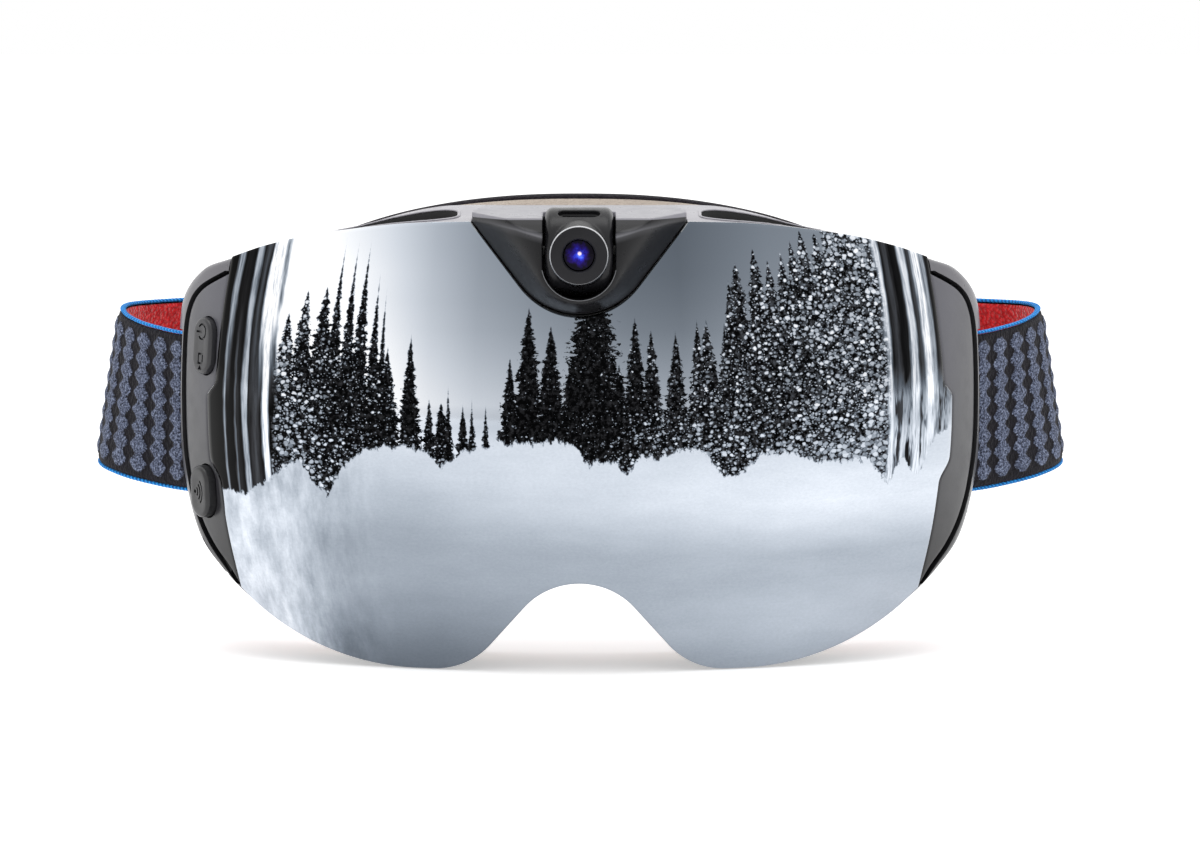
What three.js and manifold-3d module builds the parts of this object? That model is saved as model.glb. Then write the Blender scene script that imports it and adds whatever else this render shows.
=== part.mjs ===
// Snow goggles with a built-in action camera, in millimetres.
// +Z is up, +X is the wearer's left, and the lens faces -Y.
// The origin is the middle of the face foam's contact plane, between the brows.
import * as THREE from "three";
import { mergeVertices } from "three/addons/utils/BufferGeometryUtils.js";
import Module from "manifold-3d";

const wasm = await Module();
wasm.setup();

// ---------------------------------------------------------------- driving dimensions
// The lens front is an elliptic cylinder with a slight vertical curve.
const LENS = { a: 100, b: 80, verticalRadius: 170, front: -46, thickness: 1.6 };
// The rear of the frame, where the foam is glued, follows the face.
const FACE = { a: 104, b: 74, front: -16 };
// The lens outline: the notch round the camera, the nose notch and the lower lobes.
const NOTCH = { radius: 17.3, centreZ: 47.9, tangentX: 13.6, slope: 1.276, topX: 25.5 };
const NOSE = { radius: 17, centreZ: -48.4, lobeRadius: 17.6, lobeX: 34, lobeZ: -34.7 };
const LOWER = { radius: 62, x: 38, z: 9.7 };
const LENS_TOP = { x: 82, z: 42.2 };
const LENS_FOOT = { x: 80, z: -36.2 };
const FIT = 0.4; // working gap between neighbouring mouldings
const GLUE = 0.3; // gap between pieces that are stuck together
const COVER = { recess: 0.5, thickness: 2.3, groove: 0.85, tongue: 5.5 };
const CAMERA = { y: -44, z: 45.3, drum: 10.3, width: 15.6, barrel: 6.6, ring: 6.76, front: -58.2 };
const RECESS = { halfWidth: 8.3, centreZ: 43.3, drum: 10.8 };
const BEZEL = { rimY: -53.5, depth: 6, cornerX: 25, top: 53.3, chamferY: -48.5, chamfer: 0.56, rearY: -18.6, rise: 1.6 };
const POD = { wallX: 78.6, rearY: 8.6, z0: -24, z1: 29, middleZ: 2.5 };
const STRAP = { width: 38, thickness: 2, pinX: 90, pinY: 15.5, pinR: 1.5, z: 3.4, rearZ: 8.5, lean: 0.153 };
// The two strap layers overlap at the back between the two sliders.
const REAR = { outerY: 81.5, innerY: 78.9, loopX: 30, loopR: 2.7, straight: 62 };
const PORT = { x: 84, z: -32.3, y: 2.8, halfLength: 6.5, halfWidth: 6.6 };

// ---------------------------------------------------------------- materials
function finish(color, roughness, metalness = 0) {
  return new THREE.MeshStandardMaterial({ color, roughness, metalness });
}
const MIRROR = finish(0xb9c3cf, 0.04, 1);
const SMOKE = finish(0x3a3f46, 0.1);
const GRAPHITE = finish(0x4c4c52, 0.42, 0.15);
const CHARCOAL = finish(0x26262a, 0.5);
const BLACK = finish(0x101012, 0.4);
const COATED = finish(0x1d1c9c, 0.05, 0.3);
const STEEL = finish(0xb5b7ba, 0.3, 1);
const NICKEL = finish(0xc9c9c6, 0.25, 1);
const BEIGE = finish(0xb9a79b, 0.95);
const FLEECE = finish(0x17151a, 1);
const MESH_FOAM = finish(0x2a2a2d, 1);
const WEBBING = finish(0x262430, 0.9);
const RUBBER = finish(0x202024, 0.7);
const BOARD = finish(0x0f5a35, 0.5);
const CELL = finish(0x9aa3ad, 0.4, 0.6);
const FLEX = finish(0xb0701e, 0.5);

// ---------------------------------------------------------------- curves
function lerp(a, b, t) {
  return a + (b - a) * t;
}
function smooth(t) {
  const c = THREE.MathUtils.clamp(t, 0, 1);
  return c * c * (3 - 2 * c);
}
// A value read off a smooth curve through [key, value] pairs whose keys rise.
function along(pairs, key) {
  let i = 0;
  while (i < pairs.length - 2 && key > pairs[i + 1][0]) i += 1;
  const before = pairs[Math.max(i - 1, 0)];
  const [k0, v0] = pairs[i];
  const [k1, v1] = pairs[i + 1];
  const after = pairs[Math.min(i + 2, pairs.length - 1)];
  const span = k1 - k0;
  const t = THREE.MathUtils.clamp((key - k0) / span, 0, 1);
  const m0 = ((v1 - before[1]) / (k1 - before[0])) * span;
  const m1 = ((after[1] - v0) / (after[0] - k0)) * span;
  const t2 = t * t;
  const t3 = t2 * t;
  return v0 * (2 * t3 - 3 * t2 + 1) + m0 * (t3 - 2 * t2 + t) + v1 * (3 * t2 - 2 * t3) + m1 * (t3 - t2);
}

// ---------------------------------------------------------------- the two master surfaces
function frontY(x, z) {
  const across = 1 - Math.sqrt(1 - (x / LENS.a) ** 2);
  return LENS.front + LENS.b * across + (z * z) / (2 * LENS.verticalRadius);
}
// The outward normal of the lens front.
function frontNormal(x, z) {
  const slope = (LENS.b * x) / (LENS.a ** 2 * Math.sqrt(1 - (x / LENS.a) ** 2));
  return new THREE.Vector3(slope, -1, z / LENS.verticalRadius).normalize();
}
// The point that lies depth behind the lens front.
function under(x, z, depth) {
  return new THREE.Vector3(x, frontY(x, z), z).addScaledVector(frontNormal(x, z), -depth);
}
function faceY(x) {
  return FACE.front + FACE.b * (1 - Math.sqrt(1 - (x / FACE.a) ** 2));
}
// The point that lies height behind the frame's rear face; foam leans in half as fast as the face turns.
function behind(x, z, height) {
  const slope = (FACE.b * x) / (FACE.a ** 2 * Math.sqrt(1 - (x / FACE.a) ** 2));
  const lean = new THREE.Vector3(-0.5 * slope, 1, 0).normalize();
  return new THREE.Vector3(x, faceY(x), z).addScaledVector(lean, height);
}

// ---------------------------------------------------------------- outlines of the lens and covers
const TOP_EDGE = [[25.5, 52], [42, 51.2], [62, 48.3], [74, 45.2], [82, 42.2]];
const SIDE_EDGE = [
  [-36.2, 80], [-24, 82.9], [-15, 84.4], [-4, 85.7], [5, 86.1], [14, 86], [29.5, 84.2], [42.2, 82],
];
const COVER_EDGE = [
  [-34.8, 81.3], [-31, 83.9], [-26.8, 87.3], [-22.3, 90], [-17.6, 91.9], [-12.8, 93.2], [-4, 94.6],
  [8, 95], [18, 94.8], [24, 94.4], [28, 93.7], [31.5, 92.3], [34, 90.2], [35.8, 87.6], [38, 83.7],
];
const TAB = { height: 2.1, top: 12.8, foot: -11.5, topRamp: 4, footRamp: 6 };

function topZ(x) {
  const h = Math.abs(x);
  if (h < NOTCH.tangentX) return NOTCH.centreZ - Math.sqrt(NOTCH.radius ** 2 - h * h);
  if (h < NOTCH.topX) {
    const foot = NOTCH.centreZ - Math.sqrt(NOTCH.radius ** 2 - NOTCH.tangentX ** 2);
    return Math.min(foot + NOTCH.slope * (h - NOTCH.tangentX), TOP_EDGE[0][1]);
  }
  return along(TOP_EDGE, h);
}
// The nose arc and the lobe arc share a sloping tangent line.
const NOSE_ANGLE =
  Math.asin((NOSE.radius + NOSE.lobeRadius) / Math.hypot(NOSE.lobeX, NOSE.lobeZ - NOSE.centreZ)) -
  Math.atan2(NOSE.lobeZ - NOSE.centreZ, NOSE.lobeX);
const NOSE_END = NOSE.radius * Math.sin(NOSE_ANGLE);
const LOBE_START = NOSE.lobeX - NOSE.lobeRadius * Math.sin(NOSE_ANGLE);
function bottomZ(x) {
  const h = Math.abs(x);
  if (h < NOSE_END) return NOSE.centreZ + Math.sqrt(NOSE.radius ** 2 - h * h);
  if (h < LOBE_START) {
    const start = NOSE.centreZ + NOSE.radius * Math.cos(NOSE_ANGLE);
    return start - Math.tan(NOSE_ANGLE) * (h - NOSE_END);
  }
  if (h < NOSE.lobeX) return NOSE.lobeZ - Math.sqrt(NOSE.lobeRadius ** 2 - (h - NOSE.lobeX) ** 2);
  if (h < LOWER.x) return NOSE.lobeZ - NOSE.lobeRadius;
  return LOWER.z - Math.sqrt(LOWER.radius ** 2 - (h - LOWER.x) ** 2);
}
// The lens side, with the finger tab that stands out at mid height.
function sideX(z) {
  const tab = smooth((TAB.top - z) / TAB.topRamp) * smooth((z - TAB.foot) / TAB.footRamp);
  return along(SIDE_EDGE, z) + TAB.height * tab;
}
function coverX(z) {
  return along(COVER_EDGE, z);
}

// ---------------------------------------------------------------- solids
function toGeometry(positions, indices) {
  const g = new THREE.BufferGeometry();
  g.setAttribute("position", new THREE.Float32BufferAttribute(positions, 3));
  g.setIndex(indices);
  return g;
}
function toSolid(geometry) {
  const g = geometry.clone();
  g.deleteAttribute("normal");
  g.deleteAttribute("uv");
  const merged = mergeVertices(g, 1e-3);
  const make = (triVerts) =>
    new wasm.Manifold(new wasm.Mesh({ numProp: 3, vertProperties: merged.attributes.position.array, triVerts }));
  const made = make(new Uint32Array(merged.index.array));
  if (made.volume() > 0) return made;
  const turned = Uint32Array.from(merged.index.array);
  for (let i = 0; i < turned.length; i += 3) [turned[i + 1], turned[i + 2]] = [turned[i + 2], turned[i + 1]];
  return make(turned);
}
function fromSolid(solid) {
  const m = solid.getMesh();
  const positions = [];
  for (let i = 0; i < m.numVert; i += 1) positions.push(...m.vertProperties.slice(i * m.numProp, i * m.numProp + 3));
  return toGeometry(positions, Array.from(m.triVerts));
}
// A closed skin through rings of points; open lofts are capped at both ends.
function loft(rings, closed = false) {
  const n = rings[0].length;
  const positions = rings.flat().flatMap((p) => p.toArray());
  const indices = [];
  const last = closed ? rings.length : rings.length - 1;
  for (let i = 0; i < last; i += 1) {
    const a = i * n;
    const b = ((i + 1) % rings.length) * n;
    for (let j = 0; j < n; j += 1) {
      const k = (j + 1) % n;
      indices.push(a + j, b + j, b + k, a + j, b + k, a + k);
    }
  }
  if (!closed) {
    const end = (rings.length - 1) * n;
    for (let j = 1; j < n - 1; j += 1) indices.push(0, j, j + 1, end, end + j + 1, end + j);
  }
  return toGeometry(positions, indices);
}
// A plate whose two faces are given by point(u, v, side), with side 0 in front and 1 behind.
function plate(point, nu, nv) {
  const rings = [];
  for (let i = 0; i <= nu; i += 1) {
    const ring = [];
    for (let j = 0; j <= nv; j += 1) ring.push(point(i / nu, j / nv, 0));
    for (let j = nv; j >= 0; j -= 1) ring.push(point(i / nu, j / nv, 1));
    rings.push(ring);
  }
  const n = rings[0].length;
  const shell = loft(rings);
  const indices = Array.from(shell.index.array).slice(0, nu * n * 6);
  const end = nu * n;
  for (let j = 0; j < nv; j += 1) {
    const a = j;
    const b = n - 1 - j;
    indices.push(a, a + 1, b - 1, a, b - 1, b);
    indices.push(end + a, end + b, end + b - 1, end + a, end + b - 1, end + a + 1);
  }
  return toGeometry(Array.from(shell.attributes.position.array), indices);
}
function box(x0, x1, y0, y1, z0, z1) {
  const g = new THREE.BoxGeometry(x1 - x0, y1 - y0, z1 - z0);
  return toSolid(g.translate((x0 + x1) / 2, (y0 + y1) / 2, (z0 + z1) / 2));
}
// A cylinder between two points.
function rod(from, to, radius, segments = 16) {
  const axis = new THREE.Vector3().subVectors(to, from);
  const g = new THREE.CylinderGeometry(radius, radius, axis.length(), segments);
  g.applyQuaternion(new THREE.Quaternion().setFromUnitVectors(new THREE.Vector3(0, 1, 0), axis.normalize()));
  const middle = new THREE.Vector3().addVectors(from, to).multiplyScalar(0.5);
  return toSolid(g.translate(middle.x, middle.y, middle.z));
}
function v3(x, y, z) {
  return new THREE.Vector3(x, y, z);
}
// A prism of an (x, z) outline, between y0 and y1.
function prismY(points, y0, y1) {
  const shape = new THREE.Shape(points.map(([x, z]) => new THREE.Vector2(x, z)));
  const g = new THREE.ExtrudeGeometry(shape, { depth: y1 - y0, bevelEnabled: false });
  return toSolid(g.rotateX(Math.PI / 2).translate(0, y1, 0));
}
// A prism of an (x, y) outline, between z0 and z1.
function prismZ(points, z0, z1) {
  const shape = new THREE.Shape(points.map(([x, y]) => new THREE.Vector2(x, y)));
  const g = new THREE.ExtrudeGeometry(shape, { depth: z1 - z0, bevelEnabled: false });
  return toSolid(g.translate(0, 0, z0));
}
// A turned piece: [radius, height] pairs revolved about +Y of its own frame.
function turned(profile, segments = 24) {
  return toSolid(new THREE.LatheGeometry(profile.map(([r, h]) => new THREE.Vector2(r, h)), segments));
}
function mirrored(solid) {
  return solid.mirror([1, 0, 0]);
}

const goggles = new THREE.Group();
function addPart(name, shape, material, parent = goggles) {
  const mesh = new THREE.Mesh(shape.isBufferGeometry ? shape : fromSolid(shape), material);
  mesh.name = name;
  parent.add(mesh);
  return mesh;
}

// ---------------------------------------------------------------- lens
const LENS_COLUMNS = [0, 4.6, 9.2, 13.6, 19.5, 25.5, 30, 36, 44, 52, 60, 68, 75, 79.5, 82];
const LENS_ROWS = [-36.2, -26, -17, -11.5, -8.5, -5.5, 2, 8.8, 10.8, 12.8, 22, 32, 42.2];
const COVER_ROWS = [-34.8, -31, -26.8, -22.3, -17.6, -11.5, -8.5, -5.5, 2, 8.8, 10.8, 12.8, 18, 24, 28, 31.5, 34, 35.8, 38];
const ALL_COLUMNS = [...LENS_COLUMNS.slice(1).reverse().map((c) => -c), ...LENS_COLUMNS];
// A point of the lens outline's inside: column is the x of its top end, v runs from the lower edge up.
function lensPoint(column, v, grow) {
  const share = column / LENS_TOP.x;
  const lowX = share * LENS_FOOT.x;
  const z = lerp(bottomZ(lowX), topZ(column), v);
  const sideZ = lerp(LENS_FOOT.z, LENS_TOP.z, v);
  const bulge = sideX(sideZ) - lerp(LENS_FOOT.x, LENS_TOP.x, v) + grow;
  const edge = Math.abs(2 * v - 1) ** 6 * grow * Math.sign(v - 0.5);
  return [lerp(lowX, column, v) + Math.sign(column) * bulge * Math.abs(share) ** 6, z + edge];
}
function lensSolid(grow, front, back, rows = LENS_ROWS) {
  const last = ALL_COLUMNS.length - 1;
  const top = rows.length - 1;
  const point = (u, v, side) => {
    const share = (rows[Math.round(v * top)] - LENS_FOOT.z) / (LENS_TOP.z - LENS_FOOT.z);
    const [x, z] = lensPoint(ALL_COLUMNS[Math.round(u * last)], share, grow);
    return under(x, z, side ? back : front);
  };
  return toSolid(plate(point, last, top));
}

// ---------------------------------------------------------------- ring outlines
// Each row is one station of a half ring, from the top centre to the bottom centre:
// outer x, outer z, inner x, inner z.
const FRAME_RING = [
  [0, 51.3, 0, 26.5], [13, 51.3, 9, 28.8], [25, 51.3, 17, 37], [34, 50.9, 26, 44.2],
  [46, 50.1, 38, 45.2], [60, 47.9, 52, 43.6], [73, 44.6, 64, 40.2], [83, 41.3, 71, 35.6],
  [89.5, 38.3, 74.8, 28.5], [94.6, 31.4, 76.3, 20], [96, 21, 76.8, 12], [96.2, 6, 76.8, 0],
  [94.8, -9.5, 76, -9.5], [90.8, -23.9, 73.6, -20], [84.8, -31.8, 69, -29.5], [77, -38.6, 62.5, -36],
  [67, -44.8, 54.5, -39.8], [55, -49.2, 45.5, -42.2], [43, -51.4, 36.5, -42], [31, -51.3, 29.5, -38.5],
  [21.5, -46.4, 22.5, -30.5], [12, -35.8, 12.5, -23.8], [0, -30.8, 0, -21.5],
];
const FOAM_RING = [
  [0, 54.6, 0, 42], [16, 54.4, 12, 41.9], [30, 53.4, 24, 41.4], [43, 51.4, 36, 40.2],
  [54, 48.5, 47, 37.6], [64, 44.7, 56, 33.8], [73, 40.2, 63, 29], [80, 34.2, 67.6, 23],
  [84.6, 26.5, 69.8, 16.5], [85.2, 17, 70.8, 9.5], [85.2, 8, 71, 2.5], [85, -2, 70.4, -4.5],
  [83.4, -12, 69, -11.5], [80, -21.6, 66, -19.5], [75.2, -30, 61.4, -26.8], [68, -37.6, 55.6, -32.6],
  [59.5, -43.6, 49, -36.4], [50, -47.6, 42, -38.4], [40.5, -49.4, 35, -37.6], [31, -49, 29, -33.6],
  [22.5, -43.5, 22.5, -26.8], [12.5, -32.6, 12, -20.6], [0, -28, 0, -18],
];
// The closed outline in columns first and first + 1; t runs once round it from the top centre.
function ringCurve(rows, first) {
  const half = rows.map((row) => v3(row[first], 0, row[first + 1]));
  const rest = half.slice(1, -1).reverse().map((p) => v3(-p.x, 0, p.z));
  const points = [...half, ...rest];
  const curve = new THREE.CatmullRomCurve3(points, true, "catmullrom", 0.5);
  return (t) => {
    const p = curve.getPoint(((t % 1) + 1) % 1);
    return [p.x, p.z];
  };
}
const frameOuter = ringCurve(FRAME_RING, 0);
const frameInner = ringCurve(FRAME_RING, 2);
const foamOuter = ringCurve(FOAM_RING, 0);
const foamInner = ringCurve(FOAM_RING, 2);

// The frame's eye opening, drawn in by distance.
function openingOutline(distance, stations) {
  const outline = [];
  for (let i = 0; i < stations; i += 1) {
    const t = i / stations;
    const [x, z] = frameInner(t);
    const [x1, z1] = frameInner(t + 0.004);
    const [x2, z2] = frameInner(t - 0.004);
    const length = Math.hypot(x1 - x2, z1 - z2);
    outline.push([x + ((z1 - z2) / length) * distance, z - ((x1 - x2) / length) * distance]);
  }
  return outline;
}
const RING_STATIONS = 66;
// A ring whose section at station t is the list of points that section(t) gives.
function ringSolid(section, stations, from = 0, to = 1) {
  const closed = to - from === 1;
  const count = closed ? stations : stations + 1;
  const rings = [];
  for (let i = 0; i < count; i += 1) rings.push(section(lerp(from, to, i / stations)));
  return toSolid(loft(rings, closed));
}

const outerLens = lensSolid(0, 0, LENS.thickness);
const lensClearance = lensSolid(FIT, -6, 2);
addPart("outer_lens", outerLens, MIRROR);

// The gasket joins the two lenses round the edge of the frame's opening.
const GASKET = { width: 4, front: 2, back: 4.7 };
function gasket() {
  const outer = openingOutline(FIT, RING_STATIONS);
  const inner = openingOutline(FIT + GASKET.width, RING_STATIONS);
  const section = (t) => {
    const i = Math.round(t * RING_STATIONS);
    const { front, back } = GASKET;
    return [under(...outer[i], front), under(...inner[i], front), under(...inner[i], back), under(...outer[i], back)];
  };
  return ringSolid(section, RING_STATIONS);
}
addPart("lens_gasket", gasket(), FLEECE);
const INNER_ROWS = LENS_ROWS.filter((z, i) => i % 2 === 0);
const innerLens = lensSolid(0, 5.2, 6.2, INNER_ROWS).intersect(prismY(openingOutline(0.7, RING_STATIONS), -60, 10));
addPart("inner_lens", innerLens, SMOKE);

// ---------------------------------------------------------------- face foam
// Two layers glued on the frame's rear face; the brow flares upwards as it nears the forehead.
const FOAM = { base: 11, fleece: 4.4, flare: 1.6, flareEnd: 60 };
function foamSection(from, to, widen) {
  return (t) => {
    const [ox, oz] = foamOuter(t);
    const [ix, iz] = foamInner(t);
    const rise = oz > 0 ? FOAM.flare * smooth((FOAM.flareEnd - Math.abs(ox)) / FOAM.flareEnd) : 0;
    const spots = [[0, from], [0, to], [0.5, to], [1, to], [1, from], [0.5, from]];
    return spots.map(([s, height]) => {
      const across = s === 0 ? -widen : s === 1 ? 1 + widen : s;
      return behind(lerp(ox, ix, across), lerp(oz, iz, across) + rise * (1 - s) * (height / 16), height);
    });
  };
}
const FOAM_STATIONS = 44;
const foamTop = GLUE + FOAM.base;
addPart("foam_base", ringSolid(foamSection(GLUE, foamTop, 0), FOAM_STATIONS), BEIGE);
addPart("foam_fleece", ringSolid(foamSection(foamTop + FIT, 16, 0.03), FOAM_STATIONS), FLEECE);

// ---------------------------------------------------------------- frame blank
const FLARE = { height: 3.4, end: 56, ramp: 26 };
const TAPER = 5;
// The rear face at station t; s runs from its outer edge to the eye opening.
function rearPoint(t, s, lift) {
  const [ox, oz] = frameOuter(t);
  const [ix, iz] = frameInner(t);
  const flare = oz > 0 ? FLARE.height * smooth((FLARE.end - Math.abs(ox)) / FLARE.ramp) : 0;
  const x = lerp(ox - Math.sign(ox) * TAPER * Math.abs(ox / 96) ** 4, ix, s);
  return v3(x, faceY(x) + lift, lerp(oz + flare, iz, s));
}
function frameSection(t) {
  const [ox, oz] = frameOuter(t);
  const [ix, iz] = frameInner(t);
  const front = [0, 0.34, 0.67, 1].map((s) => {
    const x = lerp(ox, ix, s);
    const z = lerp(oz, iz, s);
    return v3(x, frontY(x, z) + COVER.recess, z);
  });
  return [...front, ...[1, 0.5, 0].map((s) => rearPoint(t, s, 0))];
}

// ---------------------------------------------------------------- side covers
const COVER_BACK = COVER.recess + COVER.thickness;
// The cover's inner and outer edges from its foot to its tip, its outer edge moved out by grow.
function coverEdges(grow, reach) {
  const last = COVER_ROWS.length - 1;
  return COVER_ROWS.map((z, i) => {
    const above = COVER_ROWS[Math.min(i + 1, last)];
    const below = COVER_ROWS[Math.max(i - 1, 0)];
    const slope = (coverX(above) - coverX(below)) / (above - below);
    const length = Math.hypot(1, slope);
    const turn = Math.abs(frontNormal(coverX(z), z).y);
    const end = i === 0 || i === last;
    return {
      inner: [sideX(z) + FIT - reach, z + (end ? Math.sign(z) * grow : 0)],
      outer: [coverX(z) + (grow * turn) / length, z - (grow * slope) / length],
    };
  });
}
function coverPlate(edges, front, back, columns) {
  const last = edges.length - 1;
  const point = (u, v, side) => {
    const { inner, outer } = edges[Math.round(u * last)];
    return under(lerp(inner[0], outer[0], v), lerp(inner[1], outer[1], v), side ? back : front);
  };
  return toSolid(plate(point, last, columns));
}
// The tongue that runs under the lens edge and closes the front of the pod.
const TONGUE = { foot: -31, top: 35, front: 2.2, back: 4 };
function tonguePlate(front, back, grow) {
  const point = (u, v, side) => {
    const z = lerp(TONGUE.foot - grow, TONGUE.top + grow, u);
    const x = lerp(sideX(z) - COVER.tongue - grow, sideX(z) + 1.6, v);
    return under(x, z, side ? back : front);
  };
  return toSolid(plate(point, 8, 3));
}
function disc(x, z, front, back, radius, segments = 14) {
  return rod(under(x, z, front), under(x, z, back), radius, segments);
}
// Each cover is held by two screws through its tongue, out of sight under the lens.
const COVER_SCREWS = [32, -27.6];
function coverScrewX(z) {
  return sideX(z) - 3;
}
function screwHoles(z) {
  const x = coverScrewX(z);
  return disc(x, z, 1, 3.4, 2, 12).add(disc(x, z, 1, 9, 1.05, 10));
}
function screwAt(x, z) {
  return disc(x, z, 2.2, 3.1, 1.7, 12).add(disc(x, z, 2.6, 8.6, 0.75, 10)).subtract(disc(x, z, 1, 2.7, 0.7, 6));
}
let coverBlank = coverPlate(coverEdges(0, 0), COVER.recess, COVER_BACK, 3);
coverBlank = coverBlank.add(tonguePlate(TONGUE.front, TONGUE.back, 0));
const coverClearance = coverPlate(coverEdges(COVER.groove, COVER.tongue), -4, COVER_BACK + 1.4, 4)
  .add(tonguePlate(1, TONGUE.back + FIT, FIT));
for (const z of COVER_SCREWS) coverBlank = coverBlank.subtract(screwHoles(z));

// ---------------------------------------------------------------- buttons
// A flat working plane on the cover: +Z of the plane points out, +Y runs up the cover.
function coverFrame(x, z) {
  const out = frontNormal(x, z);
  const side = new THREE.Vector3().crossVectors(v3(0, 0, 1), out).normalize();
  const up = new THREE.Vector3().crossVectors(out, side);
  return new THREE.Matrix4().makeBasis(side, up, out).setPosition(under(x, z, 0));
}
function placed(solid, matrix) {
  return solid.transform(matrix.elements);
}
// A pill-shaped prism between two depths, drawn in by bevel at its outer end.
function pill(width, height, front, back, bevel = 0) {
  const rings = [[bevel, -front], [0, -front - bevel], [0, -back]].slice(bevel > 0 ? 0 : 1);
  const steps = 8;
  const make = ([inset, level]) => {
    const r = width / 2 - inset;
    const ring = [];
    for (const end of [1, -1]) {
      for (let i = 0; i <= steps; i += 1) {
        const a = (Math.PI * i) / steps + (end > 0 ? 0 : Math.PI);
        ring.push(v3(r * Math.cos(a), r * Math.sin(a) + (end * (height - width)) / 2, level));
      }
    }
    return ring;
  };
  return toSolid(loft(rings.map(make)));
}
function slab(halfX, halfY, front, back, offsetX = 0, offsetY = 0) {
  return box(offsetX - halfX, offsetX + halfX, offsetY - halfY, offsetY + halfY, -back, -front);
}
const ROCKER = { x: 88.7, z: 20.7, width: 8.2, height: 13.5, proud: 1.7 };
const WIFI = { x: 88.9, z: -13.8, width: 8.2, height: 12.4, proud: 2.4 };
// Depths below the cover's surface: the wings that keep a button in, and its foot over the switch.
const BUTTON = { gap: 0.35, wing: 4.4, wingBack: 5.2, foot: 6.2 };
const podFrame = coverFrame(88.2, POD.middleZ);
const rockerFrame = coverFrame(ROCKER.x, ROCKER.z);
const wifiFrame = coverFrame(WIFI.x, WIFI.z);
function buttonHole({ width, height }, frame) {
  return placed(pill(width + 2 * BUTTON.gap, height + 2 * BUTTON.gap, -5, 6), frame);
}
const rockerHole = buttonHole(ROCKER, rockerFrame);
const wifiHole = buttonHole(WIFI, wifiFrame);
// A button's foot is trimmed parallel to the board behind it.
function button({ width, height, proud }, frame, bevel, wings) {
  const body = pill(width, height, COVER.recess - proud, BUTTON.foot + 2, bevel).add(wings);
  return placed(body, frame).subtract(placed(slab(30, 60, BUTTON.foot, BUTTON.foot + 20), podFrame));
}
const rocker = () => button(ROCKER, rockerFrame, 0.7, slab(5.2, 2.4, BUTTON.wing, BUTTON.wingBack));
const wifi = () => button(WIFI, wifiFrame, 0.8, pill(WIFI.width + 1.6, WIFI.height + 1.6, BUTTON.wing, BUTTON.wingBack));

// ---------------------------------------------------------------- electronics pods
// The hollow behind each cover, between the cover, the eye opening's wall and the strap pocket.
function podHollow() {
  const front = [82.5, 86, 90, 94].map((x) => under(x, 0, TONGUE.back));
  const outline = front.map((p) => [p.x, p.y]);
  outline.push([outline[3][0] + 0.2, POD.rearY], [POD.wallX, POD.rearY], [POD.wallX, outline[0][1] - 0.8]);
  return prismZ(outline, POD.z0, POD.z1);
}
const PCB = { front: 8, back: 9.2, half: 5.3, middle: 2.6, halfHeight: 24 };
const CELL_SIZE = { front: 5.2, back: 9.1 };
const SWITCH = { half: 1.5, offset: 4.2, front: 6.6, back: 7.7 };
const mainBoard = placed(slab(PCB.half, PCB.halfHeight, PCB.front, PCB.back, PCB.middle), podFrame);
const battery = placed(slab(PCB.half, PCB.halfHeight, CELL_SIZE.front, CELL_SIZE.back, PCB.middle), podFrame);
function switchAt(z) {
  return placed(slab(SWITCH.half, SWITCH.half, SWITCH.front, SWITCH.back, 0.4, z - POD.middleZ), podFrame);
}

// ---------------------------------------------------------------- port
// The port sits on the lower outer corner: +X of its frame runs along the band, +Z points out.
const portOut = v3(0.683, 0, -0.73).normalize();
const portAlong = v3(0.583, 0.602, 0.545);
portAlong.addScaledVector(portOut, -portAlong.dot(portOut)).normalize();
const portFrame = new THREE.Matrix4()
  .makeBasis(portAlong, new THREE.Vector3().crossVectors(portOut, portAlong), portOut)
  .setPosition(PORT.x, PORT.y, PORT.z);
function portBox(x, halfX, halfY, z0, z1) {
  return placed(box(x - halfX, x + halfX, -halfY, halfY, z0, z1), portFrame);
}
const PLUG = { x: -2.6, halfX: 1.65, halfY: 4.5 };
const CARD = { x: 3, halfX: 0.95, halfY: 5.8 };
const SOCKET = { mouth: -2.1, back: -8.4, seat: -11.4, wall: 0.35 };
function socket({ x, halfX, halfY }) {
  const shell = portBox(x, halfX, halfY, SOCKET.back, SOCKET.mouth);
  return shell.subtract(portBox(x, halfX - SOCKET.wall, halfY - SOCKET.wall, SOCKET.back + 2, 0));
}
function socketSeat({ x, halfX, halfY }) {
  return portBox(x, halfX + GLUE, halfY + GLUE, SOCKET.seat, 0);
}
const portHollow = portBox(0, PORT.halfLength, PORT.halfWidth, -1.8, 8).add(socketSeat(PLUG)).add(socketSeat(CARD));
const FLAP = { thickness: 1.4, top: -0.1 };
const portFlap = portBox(0, PORT.halfLength - GLUE, PORT.halfWidth - GLUE, FLAP.top - FLAP.thickness, FLAP.top)
  .add(portBox(0, 1.2, 2.4, FLAP.top - 0.6, FLAP.top + 0.5));

// ---------------------------------------------------------------- vents
// A slot with narrowing ends along the wall from x0 to x1, halfway between lens and face.
function ventSlot({ x0, x1, z, half }, shrink) {
  const steps = 10;
  const near = [];
  const far = [];
  for (let i = 0; i <= steps; i += 1) {
    const x = lerp(x0, x1, i / steps);
    const middle = (frontY(x, z) + faceY(x)) / 2 + 1;
    const reach = lerp(0.35, 1, Math.sqrt(1 - (1 - (2 * i) / steps) ** 4)) * half - shrink;
    near.push([x, middle - reach]);
    far.unshift([x, middle + reach]);
  }
  return [...near, ...far];
}
const TOP_VENT = { x0: 28, x1: 57, z: 50, half: 5.2, foam: [45.2, 47.2] };
const LOW_VENT = { x0: 40, x1: 62, z: -50, half: 2.2, foam: [-46.4, -44.4] };
const topVent = prismZ(ventSlot(TOP_VENT, 0), 34, 60);
const lowVent = prismZ(ventSlot(LOW_VENT, 0), -60, -34);
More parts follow.
